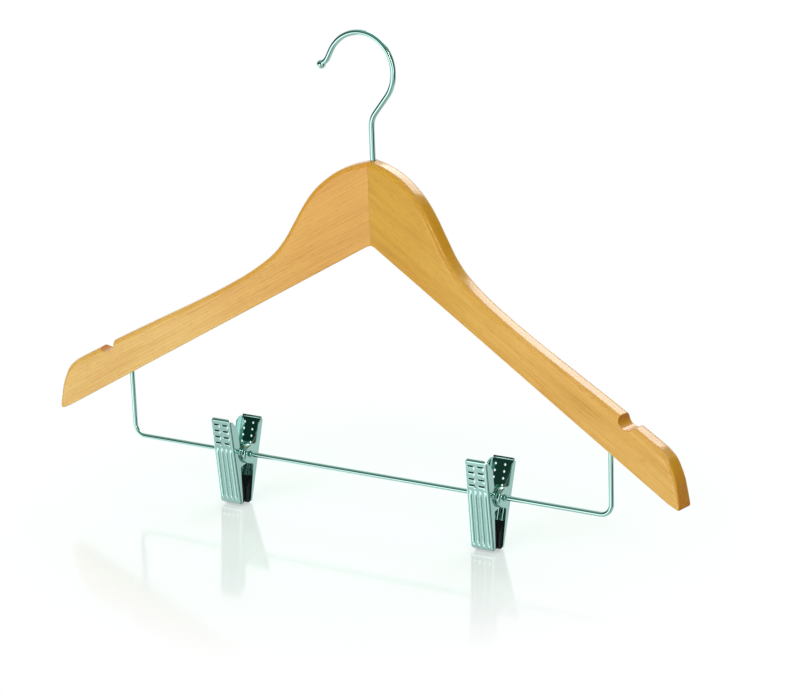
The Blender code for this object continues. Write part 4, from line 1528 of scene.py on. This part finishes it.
    def sink(self, flat: np.ndarray) -> np.ndarray:
        """Work out how far the grip marks sink the web's outer face.

        Each mark drops steeply from its top edge and rises back to the face in a straight ramp. It
        fades out at its two ends.

        Args:
            flat: points of the blank, in distance across and height.

        Returns:
            The depth at each point.
        """
        across, up = flat[:, 0], flat[:, 1]
        along = across - 0.5 * np.where(across > 0.0, 1.0, -1.0) * self.mark_spread
        over = up - self.mark_levels[np.abs(up[:, None] - self.mark_levels).argmin(axis=1)]
        share = 0.5 - over / self.mark_height
        drop = np.clip(share / 0.12, 0.0, 1.0) * np.clip((1.0 - share) / 0.88, 0.0, 1.0)
        ends = np.clip((0.5 * self.mark_length - 0.5 - along) / 0.3, 0.0, 1.0)
        ends *= np.clip((0.5 * self.mark_length + along) / 0.3, 0.0, 1.0)
        return self.mark_depth * drop * ends

    def layers(self, flat: np.ndarray) -> tuple[np.ndarray, np.ndarray]:
        """Part the folded sheet into its two faces.

        They lie half a sheet to either side of the folded middle surface, along the cross product of
        its two tangents.

        Args:
            flat: points of the blank, in distance across and height.

        Returns:
            The points of the outer face and of the inner face.
        """
        step = 0.02
        middle = self.fold(flat)
        tangents = [self.fold(flat + shift) - self.fold(flat - shift)
                    for shift in (np.array([step, 0.0]), np.array([0.0, step]))]
        normal = np.cross(*tangents)
        normal /= np.linalg.norm(normal, axis=1, keepdims=True)
        half = 0.5 * self.common.sheet * normal
        sunk = np.array([0.0, 1.0, 0.0]) * self.sink(flat)[:, None]
        return middle + half + sunk, middle - half

    def cut(self) -> tuple[np.ndarray, np.ndarray]:
        """Cut the blank into triangles between its outline, its holes and the points that fill it.

        Returns:
            The points used, and the three point indices of each triangle.
        """
        outline, holes = self.blank()
        loops = [outline, *holes]
        points: list[np.ndarray] = []
        edges: list[tuple[int, int]] = []
        for loop in loops:
            base = sum(len(block) for block in points)
            points.append(loop)
            edges.extend((base + index, base + (index + 1) % len(loop)) for index in range(len(loop)))
        points.append(self.grid(loops))
        found = delaunay_2d_cdt([Vector(point) for point in np.concatenate(points)], edges, [], 0, 1e-5)
        flat = np.array([tuple(point) for point in found[0]])
        triangles = np.array(found[2])
        middle = flat[triangles].mean(axis=1)
        keep = np.zeros(len(middle), bool)
        for loop in loops:
            keep ^= inside(middle, loop)
        used, renumbered = np.unique(triangles[keep], return_inverse=True)
        return flat[used], renumbered.reshape(-1, 3)

    def mesh(self, place: Placement) -> bpy.types.Mesh:
        """Fold the cut blank and close it: an outer face, an inner face and walls along every rim.

        Args:
            place: where the jaw stands.

        Returns:
            The closed mesh.
        """
        flat, outer = self.cut()
        sides = np.concatenate([outer[:, [0, 1]], outer[:, [1, 2]], outer[:, [2, 0]]])
        _, first, times = np.unique(np.sort(sides, axis=1), axis=0, return_index=True, return_counts=True)
        rim = sides[first[times == 1]]
        count = len(flat)
        walls = np.stack([rim[:, 1], rim[:, 0], rim[:, 0] + count, rim[:, 1] + count], axis=1)
        faces = [*outer.tolist(), *(outer[:, ::-1] + count).tolist(), *walls.tolist()]
        return mesh_from(self.name, place(np.concatenate(self.layers(flat))), faces)

    def build(self, place: Placement, finishes: Finishes, body: str) -> bpy.types.Object:
        """Build the jaw and soften its edges.

        Args:
            place: where the jaw stands.
            finishes: the hanger's finishes.
            body: the CAD body that it rides on.

        Returns:
            The jaw.
        """
        item = link(self.name, self.mesh(place))
        soft = item.modifiers.new("arris", "BEVEL")
        soft.width = self.arris * MM
        soft.segments = 2
        soft.limit_method = "ANGLE"
        soft.angle_limit = math.radians(55.0)
        applied(item, 50.0)
        return settle(item, finishes.chrome(), body)


def inside(points: np.ndarray, loop: np.ndarray) -> np.ndarray:
    """Tell which points lie inside a closed loop: those with an odd number of edges to their right.

    Args:
        points: points in a plane.
        loop: the loop's points in order.

    Returns:
        True for each point inside.
    """
    start, end = loop, np.roll(loop, -1, axis=0)
    high = points[:, None, 1]
    spans = (start[:, 1] > high) != (end[:, 1] > high)
    rise = np.where(end[:, 1] == start[:, 1], 1.0, end[:, 1] - start[:, 1])
    cross = start[:, 0] + (high - start[:, 1]) * (end[:, 0] - start[:, 0]) / rise
    return (np.sum(spans & (points[:, None, 0] < cross), axis=1) % 2).astype(bool)


@dataclass(frozen=True)
class TubularRivet:
    """The hollow rivet through both jaws, with a low domed head at each end, that slides on the bar.

    The dome's table pairs radii with shares of the head's height.
    """

    name: str
    bore: float = 1.8
    head: float = 6.2
    head_height: float = 1.6
    dome: tuple[tuple[float, float], ...] = (
        (1.8, 0.4), (2.05, 0.84), (2.8, 0.98), (4.0, 1.0), (5.2, 0.90), (5.9, 0.60), (6.2, 0.15))
    sides: int = 56
    common: ClipSizes = field(default_factory=ClipSizes)

    def build(self, place: Placement, finishes: Finishes, body: str) -> bpy.types.Object:
        """Turn the rivet's profile about the bar: bore, domed head and seat, then the same mirrored.

        Args:
            place: where the clip stands, upright.
            finishes: the hanger's finishes.
            body: the CAD body that it rides on.

        Returns:
            The rivet.
        """
        seat = self.common.wide / 2.0 + self.common.fit
        tube_radius = self.common.rivet
        dome = np.array(self.dome) * [1.0, self.head_height] + [0.0, seat]
        mouth = curve_through(np.vstack([[[self.bore, seat - 1.2]], dome]), 5)
        seat_ring = np.array([[self.head, seat], [self.head - 0.15, seat], [tube_radius + 0.1, seat],
                              [tube_radius, seat - 0.1]])
        half = np.vstack([[[self.bore, 0.4]], mouth, seat_ring, [[tube_radius, 0.4]]])
        profile = np.vstack([half, (half * [1.0, -1.0])[::-1]])
        turn = np.linspace(0.0, 2.0 * math.pi, self.sides, endpoint=False)[:, None]
        radius, level = profile[None, :, 0], profile[None, :, 1]
        ring = np.stack([np.broadcast_to(level, (self.sides, len(profile))), radius * np.cos(turn),
                         radius * np.sin(turn)], axis=2)
        item = link(self.name, smooth(shell(self.name, place(ring), capped=False, around_rows=True)))
        return settle(item, finishes.chrome(), body)


@dataclass(frozen=True)
class TorsionSpring:
    """The spring wound round the rivet, with one leg on each handle."""

    name: str
    wire: float = 0.65
    leg: float = 15.0
    toe: float = 3.0
    loops: int = 6
    common: ClipSizes = field(default_factory=ClipSizes)

    @property
    def half_length(self) -> float:
        """Half of the coil's length along the rivet."""
        return self.common.width / 2.0 - self.common.sheet - self.common.fit - self.wire

    def build(self, place: Placement, finishes: Finishes) -> bpy.types.Object:
        """Carry the wire's circle up one leg, round the coil and up the other leg.

        The coil's points turn evenly about the bar while they move evenly along it.

        Args:
            place: where the clip stands, upright.
            finishes: the hanger's finishes.

        Returns:
            The spring, on no body.
        """
        radius = self.common.rivet + self.common.fit + self.wire
        reach = self.common.standoff - self.common.sheet - self.common.fit - self.wire
        lean = self.common.angle + math.asin((reach - radius) / self.leg)
        first = math.pi + lean
        turn = 2.0 * math.pi * self.loops - math.pi - 2.0 * lean
        share = np.linspace(0.0, 1.0, int(turn / (2.0 * math.pi) * 30))
        coil = np.stack([self.half_length * (2.0 * share - 1.0), radius * np.cos(first + turn * share),
                         radius * np.sin(first + turn * share)], axis=1)
        legs = []
        for side, base in ((-1.0, coil[0]), (1.0, coil[-1])):
            knee = base + np.array([0.0, side * self.leg * math.sin(lean), self.leg * math.cos(lean)])
            toe = knee + np.array([0.0, side * self.toe * math.sin(self.common.angle),
                                   self.toe * math.cos(self.common.angle)])
            straight = base + (knee - base) * np.linspace(0.0, 1.0, 9)[1:-1, None]
            legs.append(np.vstack([straight, knee + (base - knee) * 0.03, knee + (toe - knee) * 0.12, toe]))
        path = np.vstack([legs[0][::-1], coil, legs[1]])
        radii = np.full(len(path), self.wire)
        item = link(self.name, smooth(tube(self.name, place(path), radii, (1.0, 0.0, 0.0), 12)))
        return settle(item, finishes.spring(), None)


@dataclass(frozen=True)
class GripPad:
    """The moulded pad between a jaw's flanges, whose round foot stands a little below the jaw."""

    name: str
    width: float
    length: float = 16.5
    below: float = 1.0
    grip: float = 9.0
    top_thickness: float = 2.6
    foot_rounding: float = 1.6
    chamfer: float = 0.3
    edge: float = 0.45
    common: ClipSizes = field(default_factory=ClipSizes)

    def build(self, place: Placement, finishes: Finishes, body: str) -> bpy.types.Object:
        """Carry the pad's side view through its width, with its edges rounded.

        Args:
            place: where the pad's jaw stands.
            finishes: the hanger's finishes.
            body: the CAD body that it rides on.

        Returns:
            The pad.
        """
        common = self.common
        back = -common.standoff + common.sheet + common.fit
        low = -common.bottom - self.below
        sine, cosine = math.sin(common.angle), math.cos(common.angle)

        def meet(level: float) -> float:
            """Return how far forward the two pads meet at a height."""
            return (level * sine - common.fit / 2.0) / cosine

        round_off = self.foot_rounding
        foot = meet(low + round_off)
        heel = arc((back + round_off, low + round_off), round_off, math.pi, 1.5 * math.pi, 10.0)
        toe = arc((foot - round_off, low + round_off), round_off, 1.5 * math.pi, 2.0 * math.pi, 10.0)
        top = np.array([[meet(low + self.grip), low + self.grip],
                        [back + self.top_thickness, low + self.length - self.chamfer],
                        [back + self.top_thickness - self.chamfer, low + self.length],
                        [back + self.chamfer, low + self.length], [back, low + self.length - self.chamfer]])
        outline = np.vstack([heel, toe, top])
        closed = np.vstack([outline, outline[:1]])
        even = sample(closed, np.linspace(0.0, lengths(closed)[-1], 121)[:-1])
        share = common.flare / common.width
        half = self.width / 2.0 - common.sheet - common.fit

        def stand(solid: np.ndarray) -> np.ndarray:
            """Turn side view and level to the pad's frame, widened towards its foot."""
            flare = 1.0 - share * solid[..., 1] / (common.front_handle + common.bottom)
            return place(np.stack([solid[..., 2] * flare, solid[..., 0], solid[..., 1]], axis=-1))

        item = link(self.name, smooth(prism(self.name, even, half, self.edge, stand)))
        return settle(item, finishes.rubber(), body)


@dataclass(frozen=True)
class BarClip:
    """One sprung clip: two jaws, two pads, a spring and the rivet that slides on the bar."""

    side: Side
    along: float
    hang: float
    blend_margin: float = 0.2

    def build(self, finishes: Finishes) -> None:
        """Build the clip's six pieces, the jaws, pads and rivet on their bodies and the spring on none.

        Args:
            finishes: the hanger's finishes.
        """
        word = self.side.word + "_clip_"
        common = ClipSizes()
        upright = Placement(self.along, self.hang)
        halves = ((JawForm.FRONT, common.width, Placement(self.along, self.hang, common.angle)),
                  (JawForm.REAR, common.wide, Placement(self.along, self.hang, common.angle, True)))
        for form, width, place in halves:
            body = word + form.word
            PressedJaw(body + "_jaw_surface", width, *form.value).build(place, finishes, body)
        for form, width, place in halves:
            body = word + form.word
            GripPad(body + "_pad_surface", width).build(place, finishes, body)
        TubularRivet(word + "rivet_surface").build(upright, finishes, word + "carrier")
        spring = TorsionSpring(word + "spring_surface")
        item = spring.build(upright, finishes)
        reach = spring.half_length - self.blend_margin
        ends = to_world(upright(np.array([[-reach, 0.0, 0.0], [reach, 0.0, 0.0]])))
        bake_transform(item)


# Studio


@dataclass(frozen=True)
class Softbox:
    """One soft rectangular lamp: the direction that it shines from, its distance, size and power.

    Gloss shows it where it is mirrored.
    """

    name: str
    towards: tuple[float, float, float]
    distance: float
    size: tuple[float, float]
    watts: float
    mirrored: bool = True

    def build(self, aim: Vector) -> bpy.types.Object:
        """Place the white lamp so that it faces a point.

        Args:
            aim: the point, in metres.

        Returns:
            The lamp.
        """
        lamp = bpy.data.lights.new(self.name, "AREA")
        lamp.shape = "RECTANGLE"
        lamp.size, lamp.size_y = self.size
        lamp.energy = self.watts
        item = bpy.data.objects.new(self.name, lamp)
        way = Vector(self.towards).normalized()
        item.location = aim + way * self.distance
        item.rotation_euler = way.to_track_quat("Z", "Y").to_euler()
        item.visible_glossy = self.mirrored
        bpy.context.scene.collection.objects.link(item)
        return item


@dataclass(frozen=True)
class Reflected:
    """A round patch of the studio that gloss shows: its direction, two angles and colour.

    The patch is whole within the inner angle and gone at the outer one, both in degrees.
    """

    towards: tuple[float, float, float]
    inner: float
    outer: float
    colour: str
    strength: float = 1.0


@dataclass(frozen=True)
class Studio:
    """A white sweep with soft lamps, and the camera at the photograph's angle.

    The room's four steps are pairs of a direction's Y or Z: where the step begins and where it is whole.
    """

    camera_place: tuple[float, float, float] = (792.0, -1233.8, 239.6)
    camera_target: tuple[float, float, float] = (20.68, 0.0, -188.83)
    camera_roll: float = math.radians(-1.9679)
    focal_pixels: float = 2517.13
    image_width: float = 799.0
    sensor_width: float = 36.0
    aim: tuple[float, float, float] = (0.0, -0.02, -0.16)
    floor_level: float = -294.6
    floor_reach: float = 4.0
    floor_points: int = 41
    # The floor's mint base colour is painted reflected light: the chrome's green spill, seen only near the
    # hanger
    floor_colour: str = "#E4F6EE"
    floor_roughness: float = 0.10
    floor_ior: float = 3.0
    floor_glow: str = "#F2FFFB"
    floor_lift: float = 0.20
    plain_near: float = 0.34
    mirror_reach: tuple[float, float] = (0.31, 0.39)
    room_front: tuple[float, float] = (0.42, 0.05)
    room_above: tuple[float, float] = (-0.12, 0.0)
    room_low: tuple[float, float] = (0.06, -0.10)
    room_overhead: tuple[float, float] = (0.22, 0.85)
    sweep_colour: str = "#FFFFFF"
    shade_colour: str = "#D9E2DF"
    gloom_colour: str = "#12352A"
    ceiling_colour: str = "#86A79D"
    fill: float = 0.46
    lamps: tuple[Softbox, ...] = (
        Softbox("key_softbox", (-0.25, -0.86, 0.42), 1.7, (1.5, 1.2), 15.0, False),
        Softbox("side_softbox", (0.64, -0.56, 0.50), 1.8, (0.07, 0.60), 3.2),
        Softbox("rear_softbox", (-0.02, 0.74, 0.67), 1.6, (1.0, 0.50), 7.0),
    )
    reflected: tuple[Reflected, ...] = (
        Reflected((0.98, 0.0, -0.18), 20.0, 28.0, "#0E2A20"),
        Reflected((0.42, -0.62, -0.66), 12.0, 26.0, "#93AAA3"),
        Reflected((-0.31, -0.91, -0.20), 11.0, 23.0, "#FFFFFF", 2.0),
        Reflected((-0.79, 0.02, -0.61), 18.0, 27.0, "#FFFFFF", 1.8),
        Reflected((0.68, 0.62, 0.39), 18.0, 34.0, "#6B7648"),
        Reflected((0.74, -0.66, 0.10), 13.0, 20.0, "#FFFFFF", 1.9),
    )

    def camera(self) -> None:
        """Place the camera from its measured position, target, roll and focal length."""
        place, target = Vector(self.camera_place) * MM, Vector(self.camera_target) * MM
        back = (place - target).normalized()
        right = Vector((0.0, 0.0, 1.0)).cross(back).normalized()
        up = back.cross(right)
        cosine, sine = math.cos(self.camera_roll), math.sin(self.camera_roll)
        turned_right = right * cosine + up * sine
        turned_up = up * cosine - right * sine
        basis = Matrix((turned_right, turned_up, back)).transposed().to_4x4()
        basis.translation = place
        lens = bpy.data.cameras.new("photo_camera")
        lens.sensor_fit = "HORIZONTAL"
        lens.sensor_width = self.sensor_width
        lens.lens = self.focal_pixels / self.image_width * self.sensor_width
        lens.clip_start, lens.clip_end = 0.05, 50.0
        item = bpy.data.objects.new("photo_camera", lens)
        item.matrix_world = basis
        bpy.context.scene.collection.objects.link(item)
        bpy.context.scene.camera = item

    def floor(self) -> None:
        """Lay the pale glossy floor, a flat sheet that runs out of sight on every side."""
        span = np.linspace(-self.floor_reach, self.floor_reach, self.floor_points)
        across, deep = np.meshgrid(span, span, indexing="ij")
        level = np.full_like(across, self.floor_level * MM)
        points = np.stack([across, deep, level], axis=2).reshape(-1, 3)
        quads = grid_faces(self.floor_points, self.floor_points, False, False)
        mesh = bpy.data.meshes.new("studio_floor")
        mesh.from_pydata(points, [], quads[:, ::-1].tolist())
        item = link("studio_floor", mesh)
        dress(item, self.floor_finish())
        item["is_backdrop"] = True

    def floor_finish(self) -> bpy.types.Material:
        """Build the floor's white acrylic.

        The camera sees it mirror the hanger near the clips, and plain white further off. Its mint base
        colour, seen only near the hanger, is a painted tint of the green light that the chrome throws on
        the floor. Gloss on the hanger looks through it to the studio below the horizon.

        Returns:
            The material.
        """
        material, tree, shader = new_material("white_acrylic_sweep")
        # Mint base colour: a painted tint of the green light that the chrome throws on the floor near the
        # hanger
        shader.inputs["Base Color"].default_value = linear(self.floor_colour)
        shader.inputs["Roughness"].default_value = self.floor_roughness
        shader.inputs["IOR"].default_value = self.floor_ior
        shader.inputs["Emission Color"].default_value = linear(self.floor_glow)
        where = add_node(tree, "ShaderNodeTexCoord")
        path = add_node(tree, "ShaderNodeLightPath")
        lift = add_node(tree, "ShaderNodeMath", {"operation": "MULTIPLY", 1: self.floor_lift},
                        {0: path.outputs["Is Camera Ray"]})
        tree.links.new(lift.outputs[0], shader.inputs["Emission Strength"])
        reach = add_node(tree, "ShaderNodeVectorMath", {"operation": "LENGTH"},
                         {0: where.outputs["Object"]})
        near, far = self.mirror_reach
        plain = add_node(tree, "ShaderNodeMapRange", {**SMOOTH, "From Min": near, "From Max": far,
                                                      "To Min": self.plain_near},
                         {"Value": reach.outputs["Value"]})
        seen = add_node(tree, "ShaderNodeMath", {"operation": "MULTIPLY"},
                        {0: path.outputs["Is Camera Ray"], 1: plain.outputs[0]})
        white = add_node(tree, "ShaderNodeEmission", {"Color": linear(self.sweep_colour)})
        clear = add_node(tree, "ShaderNodeBsdfTransparent")
        direct = add_node(tree, "ShaderNodeMixShader", links={0: seen.outputs[0], 1: shader.outputs[0],
                                                              2: white.outputs[0]})
        both = add_node(tree, "ShaderNodeMixShader", links={0: path.outputs["Is Glossy Ray"],
                                                            1: direct.outputs[0], 2: clear.outputs[0]})
        tree.links.new(both.outputs[0], tree.nodes["Material Output"].inputs["Surface"])
        return material

    def room(self, tree: bpy.types.NodeTree, way: bpy.types.NodeSocket) -> bpy.types.NodeSocket:
        """Colour the studio in each direction, as gloss sees it.

        It is a white sweep with a dark room in front. The room's darkness is a product of smooth steps
        of the direction's Y and Z, and it grows lighter overhead. Round patches lie over both.

        Args:
            tree: the world's tree.
            way: the direction.

        Returns:
            The colour.
        """
        split = add_node(tree, "ShaderNodeSeparateXYZ", links={0: way})
        front, above, low, overhead = (
            add_node(tree, "ShaderNodeMapRange", {**SMOOTH, "From Min": begin, "From Max": whole},
                     {"Value": split.outputs[axis]}).outputs[0]
            for axis, (begin, whole) in (("Y", self.room_front), ("Z", self.room_above),
                                         ("Z", self.room_low), ("Z", self.room_overhead)))
        dark = add_node(tree, "ShaderNodeMath", {"operation": "MULTIPLY"}, {0: front, 1: above})
        sweep = add_node(tree, "ShaderNodeMix", {"data_type": "RGBA", 6: linear(self.sweep_colour),
                                                 7: linear(self.shade_colour)}, {0: low})
        gloom = add_node(tree, "ShaderNodeMix", {"data_type": "RGBA", 6: linear(self.gloom_colour),
                                                 7: linear(self.ceiling_colour)}, {0: overhead})
        room = add_node(tree, "ShaderNodeMix", {"data_type": "RGBA"},
                        {0: dark.outputs[0], 6: sweep.outputs[2], 7: gloom.outputs[2]})
        for patch in self.reflected:
            centre = tuple(Vector(patch.towards).normalized())
            along = add_node(tree, "ShaderNodeVectorMath", {"operation": "DOT_PRODUCT", 1: centre}, {0: way})
            share = add_node(tree, "ShaderNodeMapRange", {**SMOOTH,
                                                          "From Min": math.cos(math.radians(patch.outer)),
                                                          "From Max": math.cos(math.radians(patch.inner))},
                             {"Value": along.outputs["Value"]})
            tone = tuple(patch.strength * value for value in linear(patch.colour)[:3]) + (1.0,)
            room = add_node(tree, "ShaderNodeMix", {"data_type": "RGBA", 7: tone},
                            {0: share.outputs[0], 6: room.outputs[2]})
        return room.outputs[2]

    def world(self) -> None:
        """Make the surroundings: white for the camera, the room for gloss, and an even fill."""
        world = bpy.data.worlds.new("white_studio")
        bpy.context.scene.world = world
        world.use_nodes = True
        tree = world.node_tree
        tree.nodes.clear()
        where = add_node(tree, "ShaderNodeTexCoord")
        path = add_node(tree, "ShaderNodeLightPath")
        white = linear(self.sweep_colour)
        seen = add_node(tree, "ShaderNodeBackground", {"Color": white, "Strength": 1.0})
        fill = add_node(tree, "ShaderNodeBackground", {"Color": white, "Strength": self.fill})
        mirror = add_node(tree, "ShaderNodeBackground", {"Strength": 1.0},
                          {"Color": self.room(tree, where.outputs["Generated"])})
        glossy = add_node(tree, "ShaderNodeMixShader", links={0: path.outputs["Is Glossy Ray"],
                                                              1: fill.outputs[0], 2: mirror.outputs[0]})
        camera = add_node(tree, "ShaderNodeMixShader", links={0: path.outputs["Is Camera Ray"],
                                                              1: glossy.outputs[0], 2: seen.outputs[0]})
        add_node(tree, "ShaderNodeOutputWorld", links={"Surface": camera.outputs[0]})

    def build(self) -> None:
        """Set up the camera, the floor, the world and the lamps."""
        self.camera()
        self.floor()
        self.world()
        for lamp in self.lamps:
            lamp.build(Vector(self.aim))
        bpy.context.scene.view_settings.view_transform = "Standard"


def dress_hidden(finishes: Finishes) -> None:
    """Give the CAD solids that stay, inside the wood, their materials.

    Args:
        finishes: the hanger's finishes.
    """
    for name in ("joint_dowel_lower", "joint_dowel_upper"):
        dress(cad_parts[name], finishes.dowel_wood())
    dress(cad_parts["hook_retaining_pin"], finishes.spring())


def write_sizes() -> None:
    """Work out the CAD model's box and the visual model's box as plain numbers, which nothing keeps."""
    boxes = {"cad": CAD_BOX, "visual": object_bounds()}
    plain = {key: [[float(value) for value in corner] for corner in box] for key, box in boxes.items()}


def main() -> None:
    """Build the hanger's pieces in order, then the studio round them."""
    logging.basicConfig(level=logging.INFO, format="%(name)s %(message)s")
    finishes = Finishes()
    Studio().build()
    for side in Side:
        WoodenArm(side).build(finishes)
    SwivelHook().build(finishes)
    TrouserBar().build(finishes)
    for side, (along, hang) in CLIP_PLACES.items():
        BarClip(side, along, math.radians(hang)).build(finishes)
    dress_hidden(finishes)
    write_sizes()


if __name__ == "__main__":
    main()
